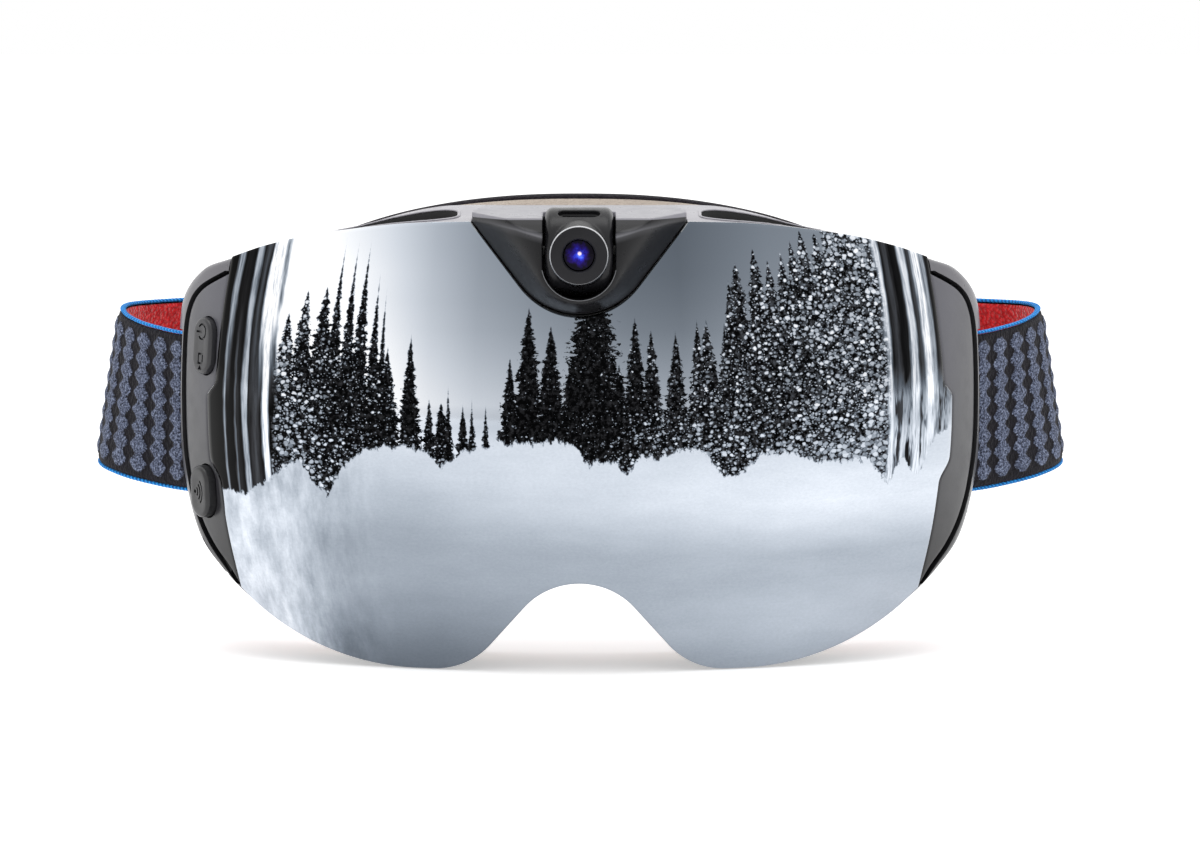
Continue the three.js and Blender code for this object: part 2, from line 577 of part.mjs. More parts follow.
function ventFoam(vent) {
  return prismZ(ventSlot({ ...vent, x0: vent.x0 + GLUE, x1: vent.x1 - GLUE }, GLUE), ...vent.foam);
}

// ---------------------------------------------------------------- cables
// Two flat cables lie in grooves in the frame's rear face, under the foam; each lane is given
// by its distances from the frame's outer edge.
const LANES = { battery: [1.2, 4], camera: [5.2, 8] };
const GROOVE = { depth: 1.3, cable: 0.5, side: 0.35 };
const POD_T = 8.4 / 44;
function ringWidth(t) {
  const [ox, oz] = frameOuter(t);
  const [ix, iz] = frameInner(t);
  return Math.hypot(ox - ix, oz - iz);
}
function laneSolid([d0, d1], from, to, floor, lift, steps) {
  const section = (t) => {
    const [s0, s1] = [d0 / ringWidth(t), d1 / ringWidth(t)];
    return [rearPoint(t, s0, floor), rearPoint(t, s1, floor), rearPoint(t, s1, lift), rearPoint(t, s0, lift)];
  };
  return ringSolid(section, steps, from, to);
}
// The turn of a lane at station t into a hollow, ending at the point given.
function laneTurn([d0, d1], t, end, radius) {
  const s = (d0 + d1) / 2 / ringWidth(t);
  return rod(rearPoint(t, s, -0.8), end, radius, 10);
}
const LANE_ENDS = [
  { lane: LANES.battery, t: POD_T, end: v3(83, 7.6, 26.6) },
  { lane: LANES.battery, t: -POD_T, end: v3(-83, 7.6, 26.6) },
  { lane: LANES.camera, t: -POD_T, end: v3(-80.6, 7.4, 26) },
  { lane: LANES.camera, t: -0.6 / 44, end: v3(-1.5, -31.5, 45) },
];
function cableGrooves() {
  const { depth } = GROOVE;
  let cut = laneSolid(LANES.battery, -POD_T, POD_T, -depth, 3, 30);
  cut = cut.add(laneSolid(LANES.camera, -POD_T, -0.6 / 44, -depth, 3, 16));
  for (const { lane, t, end } of LANE_ENDS) cut = cut.add(laneTurn(lane, t, end, 1.1));
  return cut;
}
function cable(lane, from, to, steps) {
  const [d0, d1] = lane;
  const floor = GLUE - GROOVE.depth;
  const inset = 0.03 / 44;
  let strip = laneSolid(
    [d0 + GROOVE.side, d1 - GROOVE.side], from + inset, to - inset, floor, floor + GROOVE.cable, steps,
  );
  for (const turn of LANE_ENDS) {
    if (turn.lane === lane) strip = strip.add(laneTurn(lane, turn.t, turn.end, 0.6));
  }
  return strip;
}

// ---------------------------------------------------------------- camera
const AXIS = v3(0, CAMERA.y, CAMERA.z);
// The notch outline that the bezel fills, from its right top corner round to its left one.
function notchOutline(gap) {
  const r = NOTCH.radius - gap;
  const tangent = (NOTCH.tangentX * r) / NOTCH.radius;
  const foot = NOTCH.centreZ - Math.sqrt(r * r - tangent * tangent);
  const right = [[BEZEL.cornerX - gap, 55.5], [BEZEL.cornerX - gap, 51.8]];
  right.push([lerp(tangent, BEZEL.cornerX - gap, 0.5), lerp(foot, 51.8, 0.5)]);
  for (const share of [1, 0.66, 0.33]) {
    const x = tangent * share;
    right.push([x, NOTCH.centreZ - Math.sqrt(r * r - x * x)]);
  }
  const left = right.map(([x, z]) => [-x, z]).reverse();
  return [...right, [0, NOTCH.centreZ - r], ...left];
}
// The U-shaped edge of the recess in front of the drum, with one point per notch point.
function recessOutline() {
  const { halfWidth, centreZ } = RECESS;
  const right = [[halfWidth, 55.5], [halfWidth, 50], [halfWidth, 46.6]];
  for (const angle of [0.05, 0.4, 0.95]) right.push([halfWidth * Math.cos(angle), centreZ - halfWidth * Math.sin(angle)]);
  const left = right.map(([x, z]) => [-x, z]).reverse();
  return [...right, [0, centreZ - halfWidth], ...left];
}
// The bezel's domed front, from the lens surface at the notch up to the rim round the recess.
const DOME = [0, 0.25, 0.5, 0.75, 0.92, 1];
function bezelPlate(gap, back, frontLift) {
  const outer = notchOutline(gap);
  const inner = recessOutline();
  const last = outer.length - 1;
  const point = (u, v, side) => {
    const i = Math.round(u * last);
    const s = DOME[Math.round(v * (DOME.length - 1))];
    const x = lerp(outer[i][0], inner[i][0], s);
    const z = lerp(outer[i][1], inner[i][1], s);
    const rise = Math.sin((Math.min(s / 0.92, 1) * Math.PI) / 2);
    const front = lerp(frontY(...outer[i]), BEZEL.rimY, rise) - frontLift;
    return v3(x, side ? frontY(x, z) + back : front, z);
  };
  return toSolid(plate(point, last, DOME.length - 1));
}
// A prism along X of a (y, z) outline.
function prismX(points, x0, x1) {
  const shape = new THREE.Shape(points.map(([y, z]) => new THREE.Vector2(y, z)));
  const g = new THREE.ExtrudeGeometry(shape, { depth: x1 - x0, bevelEnabled: false });
  return toSolid(g.rotateX(Math.PI / 2).rotateZ(Math.PI / 2).translate(x0, 0, 0));
}
function roofZ(y) {
  return BEZEL.top + (BEZEL.rise * (y - BEZEL.chamferY)) / (BEZEL.rearY - BEZEL.chamferY);
}
const drumHollow = rod(v3(-RECESS.halfWidth, CAMERA.y, CAMERA.z), v3(RECESS.halfWidth, CAMERA.y, CAMERA.z), RECESS.drum, 40);
const recessHollow = prismY([...recessOutline().slice(2, -2), [-RECESS.halfWidth, 60], [RECESS.halfWidth, 60]], -70, CAMERA.y);
const pinHoles = rod(v3(-11.6, CAMERA.y, CAMERA.z), v3(11.6, CAMERA.y, CAMERA.z), 1.8, 16);
function bezel() {
  const roof = prismZ(
    [[-24.8, -34], [24.8, -34], [22.4, BEZEL.rearY], [-22.4, BEZEL.rearY]],
    51.7,
    57,
  );
  const above = prismX(
    [[-70, roofZ(BEZEL.chamferY) - 21.5 * BEZEL.chamfer], [BEZEL.chamferY, BEZEL.top], [-15, roofZ(-15)], [-15, 70], [-70, 70]],
    -40,
    40,
  );
  return bezelPlate(FIT, BEZEL.depth, 0.1).add(roof)
    .subtract(above).subtract(drumHollow).subtract(recessHollow).subtract(pinHoles);
}
const CRADLE_OUTLINE = [[-11.7, 37.2], [-8.3, 32.9], [8.3, 32.9], [11.7, 37.2], [11.7, 49.1], [-11.7, 49.1]];
const CRADLE = { rear: -25.9, screwX: 10, screwZ: 38.6 };
function cradle() {
  let block = prismY(CRADLE_OUTLINE, -37.6, CRADLE.rear).subtract(bezelPlate(0, BEZEL.depth + GLUE, 8));
  block = block.subtract(drumHollow).subtract(box(-5.6, 5.6, -35, -20, 41, 48.5));
  for (const side of [1, -1]) {
    const x = side * CRADLE.screwX;
    block = block.subtract(rod(v3(x, -40, CRADLE.screwZ), v3(x, -31.5, CRADLE.screwZ), 1.65, 12));
    block = block.subtract(rod(v3(x, -40, CRADLE.screwZ), v3(x, -20, CRADLE.screwZ), 1.05, 10));
  }
  return block;
}
function cradleScrew(x) {
  const z = CRADLE.screwZ;
  return rod(v3(x, -33, z), v3(x, -31.8, z), 1.35, 12)
    .add(rod(v3(x, -32.5, z), v3(x, -21.2, z), 0.75, 10))
    .subtract(rod(v3(x, -34, z), v3(x, -32.4, z), 0.6, 6));
}
// The drum, with the barrel that carries the lens.
function drum() {
  const half = CAMERA.width / 2;
  const profile = [[0, -half], [CAMERA.drum - 1, -half], [CAMERA.drum, 1 - half]];
  const rims = [...profile, ...profile.map(([r, h]) => [r, -h]).reverse()];
  const roller = turned(rims, 40).rotate([0, 0, 90]).translate(AXIS.toArray());
  const barrel = rod(v3(0, -44, CAMERA.z), v3(0, CAMERA.front + 2.1, CAMERA.z), CAMERA.barrel, 32);
  const bore = rod(v3(0, -47, CAMERA.z), v3(0, -60, CAMERA.z), 4.5, 24);
  const pocket = box(-5, 5, -48, -33, CAMERA.z - 5, CAMERA.z + 5);
  const slot = box(-4.8, 4.8, -1.4, 1.4, CAMERA.drum - 1.2, CAMERA.drum + 3)
    .rotate([27, 0, 0]).translate(AXIS.toArray());
  return roller.add(barrel).subtract(bore).subtract(pocket).subtract(slot)
    .subtract(rod(v3(-9, CAMERA.y, CAMERA.z), v3(9, CAMERA.y, CAMERA.z), 1.8, 16));
}
// A turned camera piece: [radius, distance in front of the tilt axis] pairs.
function facing(profile, segments) {
  return turned(profile, segments).rotate([180, 0, 0]).translate(AXIS.toArray());
}
const FRONT = CAMERA.y - CAMERA.front;
const barrelRing = facing(
  [
    [4.6, FRONT - 1.8], [CAMERA.ring, FRONT - 1.8], [CAMERA.ring, FRONT - 0.5], [CAMERA.ring - 0.4, FRONT],
    [5, FRONT], [4.6, FRONT - 0.5], [4.6, FRONT - 1.8],
  ],
  32,
);
const coverGlass = facing([[0, FRONT - 1.8], [4.3, FRONT - 1.8], [4.3, FRONT - 0.9], [0, FRONT - 0.8]], 24);
const lensBarrel = facing([[0, 4.6], [4.2, 4.6], [4.2, FRONT - 2.2], [3, FRONT - 2.2], [3, FRONT - 3.4], [0, FRONT - 2.9]], 20);
const imageSensor = box(-4.6, 4.6, -47.7, -46.5, CAMERA.z - 4.6, CAMERA.z + 4.6)
  .subtract(box(-3.4, 3.4, -48, -47.4, CAMERA.z - 2.8, CAMERA.z + 2.8));

// ---------------------------------------------------------------- strap
// A webbing ribbon along [x, y, z, lean] stations; lean tips its upper edge inwards.
function ribbon(stations, thickness, width) {
  const last = stations.length - 1;
  const rings = stations.map(([x, y, z, lean], i) => {
    const before = stations[Math.max(i - 1, 0)];
    const after = stations[Math.min(i + 1, last)];
    const run = v3(after[0] - before[0], after[1] - before[1], 0).normalize();
    const outward = v3(run.y, -run.x, 0);
    const up = v3(0, 0, Math.cos(lean)).addScaledVector(outward, -Math.sin(lean));
    const across = outward.multiplyScalar(Math.cos(lean)).add(v3(0, 0, Math.sin(lean)));
    const corner = (a, b) => v3(x, y, z).addScaledVector(across, (a * thickness) / 2).addScaledVector(up, (b * width) / 2);
    return [corner(1, 1), corner(1, -1), corner(-1, -1), corner(-1, 1)];
  });
  return toSolid(loft(rings));
}
// The plan of the left strap's middle surface, from its pin to the back of the head.
function strapPlan(rearY) {
  const points = [
    [93, 17.2], [101, 24.3], [109, 31.8], [113.9, 40], [114.3, 49.5], [109.6, 60.5],
    [99, rearY - 10.8], [84, rearY - 3.4], [70, rearY - 0.6], [REAR.straight, rearY],
  ];
  return new THREE.CatmullRomCurve3(points.map(([x, y]) => v3(x, y, 0)), false, "catmullrom", 0.5);
}
const STRAP_STEPS = 22;
function strapSolid(rearY, endX) {
  const plan = strapPlan(rearY);
  const stations = [];
  for (let i = 0; i <= STRAP_STEPS; i += 1) {
    const u = i / STRAP_STEPS;
    const p = plan.getPoint(u);
    const lean = STRAP.lean * smooth(u / 0.35) * smooth((1 - u) / 0.4);
    stations.push([p.x, p.y, lerp(STRAP.z, STRAP.rearZ, smooth(u / 0.5)), lean]);
  }
  stations.push([endX, rearY, STRAP.rearZ, 0]);
  return ribbon(stations, STRAP.thickness, STRAP.width).add(loop(STRAP.pinX, STRAP.pinY, STRAP.z, 1.9));
}
// The sewn tube of webbing round a pin or bar.
function loop(x, y, z, bore) {
  const half = STRAP.width / 2;
  const ends = [v3(x, y, z - half), v3(x, y, z + half)];
  const wider = [v3(x, y, z - half - 1), v3(x, y, z + half + 1)];
  return rod(...ends, bore + STRAP.thickness, 20).subtract(rod(...wider, bore, 16));
}
// The end of the right strap: round the slider's bar and sewn back on itself, on the outside.
const BAR = { bore: 1.7, radius: 1.35, side: 7, reach: 22 };
function strapEnd() {
  const { loopX, loopR, outerY } = REAR;
  const flat = (points) => points.map(([x, y]) => [x, y, STRAP.rearZ, 0]);
  const run = ribbon(flat([[loopX, outerY], [BAR.reach, outerY]]), STRAP.thickness, STRAP.width);
  const back = outerY + 2 * loopR;
  const fold = ribbon(flat([[loopX, back], [loopX - 4, back - 0.5], [loopX - 11, outerY + 2.9], [8, outerY + 2.6]]), 2, STRAP.width);
  return run.add(fold).add(loop(loopX, outerY + loopR, STRAP.rearZ, BAR.bore));
}
// The slider on the left strap, whose middle bar holds the right strap's end.
function slider() {
  const { loopX, loopR, outerY, innerY } = REAR;
  const half = STRAP.width / 2;
  const inner = innerY - 1.5;
  const bar = outerY + loopR;
  let body = rod(v3(loopX, bar, STRAP.rearZ - half - 1), v3(loopX, bar, STRAP.rearZ + half + 1), BAR.radius, 14);
  for (const end of [1, -1]) {
    const [z0, z1] = [STRAP.rearZ + end * (half + 0.5), STRAP.rearZ + end * (half + 2.4)].sort((a, b) => a - b);
    body = body.add(box(loopX - 8.2, loopX + 8.2, inner - 2.2, bar + 1.6, z0, z1));
    const x = loopX + end * BAR.side;
    body = body.add(box(x - 1.2, x + 1.2, inner - 2.2, inner, STRAP.rearZ - half - 1, STRAP.rearZ + half + 1));
  }
  return body;
}
// The same piece on the other side, with the inner and outer layers exchanged.
function exchanged(solid) {
  const middle = (REAR.outerY + REAR.innerY) / 2;
  return solid.rotate([0, 0, 180]).translate([0, 2 * middle, 0]);
}

// ---------------------------------------------------------------- frame assembly
// The strap's pin is carried by two ears, above and below the strap.
const EAR = { radius: 3.1, foot: -20.6, top: 27.4, gap: 0.4 };
const POCKET = { x: 85.6, y: 11, z0: -16.9, z1: 23.7 };
function pinRod(z0, z1, radius, segments) {
  return rod(v3(STRAP.pinX, STRAP.pinY, z0), v3(STRAP.pinX, STRAP.pinY, z1), radius, segments);
}
function ears() {
  const bridge = box(POCKET.x, STRAP.pinX, 9, STRAP.pinY, EAR.foot, EAR.top);
  return pinRod(EAR.foot, EAR.top, EAR.radius, 20).add(bridge);
}
const strapPocket = box(POCKET.x, 110, POCKET.y, 50, POCKET.z0, POCKET.z1);
const pinSeat = pinRod(-18.6 - EAR.gap, 25.4 + EAR.gap, STRAP.pinR + GLUE, 14);
const MAGNETS = { top: [70, 41.6], bottom: [60, -42.6] };
function magnetPocket([x, z]) {
  return disc(x, z, 1, 5.3, 2.3).add(disc(x, z, 1, 3.15, 2.35)).add(disc(x - 0.9, z, 1, 3.15, 2.35));
}
function frameSolid() {
  let body = ringSolid(frameSection, RING_STATIONS).add(ears()).add(mirrored(ears())).subtract(lensClearance);
  const cutters = [coverClearance, podHollow(), strapPocket, pinSeat, topVent, lowVent];
  for (const z of COVER_SCREWS) cutters.push(screwHoles(z));
  for (const spot of Object.values(MAGNETS)) cutters.push(magnetPocket(spot));
  for (const cutter of cutters) body = body.subtract(cutter).subtract(mirrored(cutter));
  const hollow = [[-12, 37], [-8.5, 32.6], [8.5, 32.6], [12, 37], [12, 49.4], [-12, 49.4]];
  body = body.subtract(mirrored(portHollow)).subtract(prismY(hollow, -70, -25.5));
  body = body.subtract(bezelPlate(0, BEZEL.depth + FIT, 8)).subtract(drumHollow);
  body = body.subtract(prismZ([[-26, -60], [26, -60], [25.4, -34], [22.9, -18.2], [-22.9, -18.2], [-25.4, -34]], 51.2, 60));
  for (const side of [1, -1]) {
    const x = side * CRADLE.screwX;
    body = body.subtract(rod(v3(x, -26, CRADLE.screwZ), v3(x, -20.7, CRADLE.screwZ), 1.05, 10));
  }
  return body.subtract(cableGrooves());
}
addPart("face_frame", frameSolid(), GRAPHITE);

addPart("side_cover_left", coverBlank, GRAPHITE);
addPart("side_cover_right", mirrored(coverBlank.subtract(rockerHole).subtract(wifiHole)), GRAPHITE);
addPart("power_rocker", mirrored(rocker()), BLACK);
addPart("wifi_button", mirrored(wifi()), BLACK);
addPart("main_board", mirrored(mainBoard), BOARD);
addPart("battery", battery, CELL);
addPart("power_switch_upper", mirrored(switchAt(ROCKER.z + SWITCH.offset)), STEEL);
addPart("power_switch_lower", mirrored(switchAt(ROCKER.z - SWITCH.offset)), STEEL);
addPart("wifi_switch", mirrored(switchAt(WIFI.z)), STEEL);
addPart("usb_port", mirrored(socket(PLUG)), STEEL);
addPart("card_socket", mirrored(socket(CARD)), STEEL);
addPart("port_cover", mirrored(portFlap), RUBBER);

for (const [side, name] of [[1, "left"], [-1, "right"]]) {
  const turn = (solid) => (side > 0 ? solid : mirrored(solid));
  for (const [end, z] of [["upper", COVER_SCREWS[0]], ["lower", COVER_SCREWS[1]]]) {
    addPart(`cover_screw_${name}_${end}`, turn(screwAt(coverScrewX(z), z)), STEEL);
  }
  for (const [end, [x, z]] of Object.entries(MAGNETS)) {
    addPart(`lens_magnet_${name}_${end}`, turn(disc(x, z, 1.9, 3, 2)), NICKEL);
    addPart(`frame_magnet_${name}_${end}`, turn(disc(x, z, 3.3, 5, 2)), NICKEL);
  }
  addPart(`vent_foam_top_${name}`, turn(ventFoam(TOP_VENT)), MESH_FOAM);
  addPart(`vent_foam_bottom_${name}`, turn(ventFoam(LOW_VENT)), MESH_FOAM);
  addPart(`strap_pin_${name}`, turn(pinRod(-18.6, 25.4, STRAP.pinR, 16)), STEEL);
  addPart(`cradle_screw_${name}`, cradleScrew(side * CRADLE.screwX), STEEL);
  addPart(`tilt_pin_${name}`, rod(v3(side * 5.5, CAMERA.y, CAMERA.z), v3(side * 11.3, CAMERA.y, CAMERA.z), 1.5, 16), STEEL);
}

addPart("battery_cable", cable(LANES.battery, -POD_T, POD_T, 30), FLEX);
addPart("camera_cable", cable(LANES.camera, -POD_T, -0.6 / 44, 16), FLEX);

addPart("camera_bezel", bezel(), CHARCOAL);
addPart("camera_cradle", cradle(), BLACK);
addPart("tilt_drum", drum(), CHARCOAL);
addPart("barrel_ring", barrelRing, STEEL);
addPart("cover_glass", coverGlass, COATED);
addPart("lens_barrel", lensBarrel, BLACK);
addPart("image_sensor", imageSensor, BOARD);

addPart("strap_left", strapSolid(REAR.innerY, -21.7), WEBBING);
addPart("strap_right", mirrored(strapSolid(REAR.outerY, -21.7)), WEBBING);
addPart("slider_left", slider(), BLACK);
addPart("slider_right", exchanged(slider()), BLACK);
addPart("strap_end_right", strapEnd(), WEBBING);
addPart("strap_end_left", exchanged(strapEnd()), WEBBING);

export default goggles;
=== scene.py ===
"""Snow goggles with a built-in action camera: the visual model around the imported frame.

Lengths are written in millimetres and turned into metres where a mesh is made.
+Z is up, +X is the wearer's left, and the lens faces -Y.
"""
import math

import bmesh
import bpy
import numpy as np
from mathutils import Matrix, Vector
from mathutils.bvhtree import BVHTree


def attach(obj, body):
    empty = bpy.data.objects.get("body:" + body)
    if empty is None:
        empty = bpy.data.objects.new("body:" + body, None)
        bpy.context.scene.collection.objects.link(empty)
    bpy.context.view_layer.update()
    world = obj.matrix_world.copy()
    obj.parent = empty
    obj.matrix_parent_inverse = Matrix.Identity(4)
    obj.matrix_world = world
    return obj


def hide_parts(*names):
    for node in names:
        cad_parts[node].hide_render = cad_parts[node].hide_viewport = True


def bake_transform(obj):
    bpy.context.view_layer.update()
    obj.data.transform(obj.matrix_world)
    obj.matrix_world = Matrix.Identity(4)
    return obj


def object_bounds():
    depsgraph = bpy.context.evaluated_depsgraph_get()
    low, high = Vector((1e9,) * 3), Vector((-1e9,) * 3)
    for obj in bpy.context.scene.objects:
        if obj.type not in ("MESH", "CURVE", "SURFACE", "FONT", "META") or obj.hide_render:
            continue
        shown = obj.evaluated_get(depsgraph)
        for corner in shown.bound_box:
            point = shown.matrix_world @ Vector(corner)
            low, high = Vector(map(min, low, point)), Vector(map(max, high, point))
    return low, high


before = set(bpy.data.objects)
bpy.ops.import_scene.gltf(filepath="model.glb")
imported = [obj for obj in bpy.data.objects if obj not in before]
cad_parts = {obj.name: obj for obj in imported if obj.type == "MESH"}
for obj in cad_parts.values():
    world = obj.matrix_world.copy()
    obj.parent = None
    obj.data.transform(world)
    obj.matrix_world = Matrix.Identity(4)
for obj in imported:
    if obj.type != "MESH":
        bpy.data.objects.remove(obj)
cad_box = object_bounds()
scene = bpy.context.scene
MM = 0.001

# ---------------------------------------------------------------- driving dimensions
LENS_A, LENS_B, LENS_RV, LENS_FRONT, LENS_THICK = 100.0, 80.0, 170.0, -46.0, 1.6
FACE_A, FACE_B, FACE_FRONT = 104.0, 74.0, -16.0
NOTCH_R, NOTCH_Z, NOTCH_TX, NOTCH_SLOPE, NOTCH_TOP_X = 17.3, 47.9, 13.6, 1.276, 25.5
NOSE_R, NOSE_Z, LOBE_R, LOBE_X, LOBE_Z = 17.0, -48.4, 17.6, 34.0, -34.7
LOWER_R, LOWER_X, LOWER_Z = 62.0, 38.0, 9.7
TOP_X, TOP_Z, FOOT_X, FOOT_Z = 82.0, 42.2, 80.0, -36.2
FIT, GLUE = 0.4, 0.3
COVER_RECESS, COVER_THICK, COVER_GROOVE, COVER_TONGUE = 0.5, 2.3, 0.85, 5.5
COVER_BACK = COVER_RECESS + COVER_THICK
CAM_Y, CAM_Z, DRUM_R, DRUM_W, BARREL_R, RING_R, CAM_FRONT = -44.0, 45.3, 10.3, 15.6, 6.6, 6.76, -58.2
RECESS_HALF, RECESS_Z, RECESS_DRUM = 8.3, 43.3, 10.8
BEZEL_RIM, BEZEL_DEPTH, BEZEL_CORNER, BEZEL_TOP = -53.5, 6.0, 25.0, 53.3
CHAMFER_Y, CHAMFER, BEZEL_REAR, BEZEL_RISE = -48.5, 0.56, -18.6, 1.6
FLARE, FLARE_END, FLARE_RAMP = 3.4, 56.0, 26.0
POD_WALL, POD_REAR, POD_Z0, POD_Z1 = 78.6, 8.6, -24.0, 29.0
STRAP_W, PIN_X, PIN_Y, PIN_R, STRAP_Z, REAR_Z, LEAN = 38.0, 90.0, 15.5, 1.5, 3.4, 8.5, 0.153
OUTER_Y, INNER_Y, LOOP_X, LOOP_R, STRAIGHT = 81.5, 78.9, 30.0, 2.7, 62.0
STRAP_END_X = -21.7
# Screws in a side cover, by height; magnets (x, z); vents (x0, x1, z, half-width).
COVER_SCREWS, MAGNETS = (32, -27.6), ((70, 41.6), (60, -42.6))
TOP_VENT, LOW_VENT = (28, 57, 50, 5.2), (40, 62, -50, 2.2)
# Buttons: x, z, width, height and how proud of the cover's surface.
ROCKER, WIFI = (88.7, 20.7, 8.2, 13.5, 1.7), (88.9, -13.8, 8.2, 12.4, 2.4)
BAND_STEPS = 396
THREAD_TURN = 1.15

TOP_EDGE = [(25.5, 52), (42, 51.2), (62, 48.3), (74, 45.2), (82, 42.2)]
SIDE_EDGE = [
    (-36.2, 80), (-24, 82.9), (-15, 84.4), (-4, 85.7), (5, 86.1), (14, 86), (29.5, 84.2), (42.2, 82),
]
COVER_EDGE = [
    (-34.8, 81.3), (-31, 83.9), (-26.8, 87.3), (-22.3, 90), (-17.6, 91.9), (-12.8, 93.2), (-4, 94.6),
    (8, 95), (18, 94.8), (24, 94.4), (28, 93.7), (31.5, 92.3), (34, 90.2), (35.8, 87.6), (38, 83.7),
]
FRAME_RING = [
    (0, 51.3, 0, 26.5), (13, 51.3, 9, 28.8), (25, 51.3, 17, 37), (34, 50.9, 26, 44.2),
    (46, 50.1, 38, 45.2), (60, 47.9, 52, 43.6), (73, 44.6, 64, 40.2), (83, 41.3, 71, 35.6),
    (89.5, 38.3, 74.8, 28.5), (94.6, 31.4, 76.3, 20), (96, 21, 76.8, 12), (96.2, 6, 76.8, 0),
    (94.8, -9.5, 76, -9.5), (90.8, -23.9, 73.6, -20), (84.8, -31.8, 69, -29.5), (77, -38.6, 62.5, -36),
    (67, -44.8, 54.5, -39.8), (55, -49.2, 45.5, -42.2), (43, -51.4, 36.5, -42), (31, -51.3, 29.5, -38.5),
    (21.5, -46.4, 22.5, -30.5), (12, -35.8, 12.5, -23.8), (0, -30.8, 0, -21.5),
]
FOAM_RING = [
    (0, 54.6, 0, 42), (16, 54.4, 12, 41.9), (30, 53.4, 24, 41.4), (43, 51.4, 36, 40.2),
    (54, 48.5, 47, 37.6), (64, 44.7, 56, 33.8), (73, 40.2, 63, 29), (80, 34.2, 67.6, 23),
    (84.6, 26.5, 69.8, 16.5), (85.2, 17, 70.8, 9.5), (85.2, 8, 71, 2.5), (85, -2, 70.4, -4.5),
    (83.4, -12, 69, -11.5), (80, -21.6, 66, -19.5), (75.2, -30, 61.4, -26.8), (68, -37.6, 55.6, -32.6),
    (59.5, -43.6, 49, -36.4), (50, -47.6, 42, -38.4), (40.5, -49.4, 35, -37.6), (31, -49, 29, -33.6),
    (22.5, -43.5, 22.5, -26.8), (12.5, -32.6, 12, -20.6), (0, -28, 0, -18),
]


def lerp(a, b, t):
    return a + (b - a) * t


def smooth(t):
    c = min(max(t, 0.0), 1.0)
    return c * c * (3 - 2 * c)


def along(pairs, key):
    """A value read off a smooth curve through (key, value) pairs whose keys rise."""
    i = 0
    while i < len(pairs) - 2 and key > pairs[i + 1][0]:
        i += 1
    before, (k0, v0), (k1, v1) = pairs[max(i - 1, 0)], pairs[i], pairs[i + 1]
    after = pairs[min(i + 2, len(pairs) - 1)]
    span = k1 - k0
    t = min(max((key - k0) / span, 0.0), 1.0)
    m0 = (v1 - before[1]) / (k1 - before[0]) * span
    m1 = (after[1] - v0) / (after[0] - k0) * span
    t2, t3 = t * t, t * t * t
    return v0 * (2 * t3 - 3 * t2 + 1) + m0 * (t3 - 2 * t2 + t) + v1 * (3 * t2 - 2 * t3) + m1 * (t3 - t2)


def catmull(points, t, closed=False):
    """The point at t on a Catmull-Rom curve with tension 0.5, with equal steps of t between the points."""
    count = len(points)
    place = (t % 1.0 if closed else min(max(t, 0.0), 1.0)) * (count if closed else count - 1)
    i = int(math.floor(place))
    if not closed and i >= count - 1:
        i = count - 2
    w = place - i

    def at(k):
        if closed:
            return points[k % count]
        if k < 0:
            return tuple(2 * a - b for a, b in zip(points[0], points[1]))
        if k >= count:
            return tuple(2 * a - b for a, b in zip(points[-1], points[-2]))
        return points[k]

    made = []
    for p0, p1, p2, p3 in zip(at(i - 1), at(i), at(i + 1), at(i + 2)):
        t0, t1 = 0.5 * (p2 - p0), 0.5 * (p3 - p1)
        c2, c3 = -3 * p1 + 3 * p2 - 2 * t0 - t1, 2 * p1 - 2 * p2 + t0 + t1
        made.append(p1 + t0 * w + c2 * w * w + c3 * w ** 3)
    return made


# ---------------------------------------------------------------- master surfaces and outlines
def front_y(x, z):
    return LENS_FRONT + LENS_B * (1 - math.sqrt(1 - (x / LENS_A) ** 2)) + z * z / (2 * LENS_RV)


def front_normal(x, z):
    slope = LENS_B * x / (LENS_A ** 2 * math.sqrt(1 - (x / LENS_A) ** 2))
    return Vector((slope, -1, z / LENS_RV)).normalized()


def under(x, z, depth):
    return Vector((x, front_y(x, z), z)) - front_normal(x, z) * depth


def face_y(x):
    return FACE_FRONT + FACE_B * (1 - math.sqrt(1 - (x / FACE_A) ** 2))


def behind(x, z, height):
    slope = FACE_B * x / (FACE_A ** 2 * math.sqrt(1 - (x / FACE_A) ** 2))
    return Vector((x, face_y(x), z)) + Vector((-0.5 * slope, 1, 0)).normalized() * height


def top_z(x):
    h = abs(x)
    if h < NOTCH_TX:
        return NOTCH_Z - math.sqrt(NOTCH_R ** 2 - h * h)
    if h < NOTCH_TOP_X:
        foot = NOTCH_Z - math.sqrt(NOTCH_R ** 2 - NOTCH_TX ** 2)
        return min(foot + NOTCH_SLOPE * (h - NOTCH_TX), TOP_EDGE[0][1])
    return along(TOP_EDGE, h)


NOSE_ANGLE = math.asin((NOSE_R + LOBE_R) / math.hypot(LOBE_X, LOBE_Z - NOSE_Z)) - math.atan2(LOBE_Z - NOSE_Z, LOBE_X)
NOSE_END = NOSE_R * math.sin(NOSE_ANGLE)
LOBE_START = LOBE_X - LOBE_R * math.sin(NOSE_ANGLE)


def bottom_z(x):
    h = abs(x)
    if h < NOSE_END:
        return NOSE_Z + math.sqrt(NOSE_R ** 2 - h * h)
    if h < LOBE_START:
        return NOSE_Z + NOSE_R * math.cos(NOSE_ANGLE) - math.tan(NOSE_ANGLE) * (h - NOSE_END)
    if h < LOBE_X:
        return LOBE_Z - math.sqrt(LOBE_R ** 2 - (h - LOBE_X) ** 2)
    if h < LOWER_X:
        return LOBE_Z - LOBE_R
    return LOWER_Z - math.sqrt(LOWER_R ** 2 - (h - LOWER_X) ** 2)


def side_x(z):
    tab = smooth((12.8 - z) / 4) * smooth((z + 11.5) / 6)
    return along(SIDE_EDGE, z) + 2.1 * tab


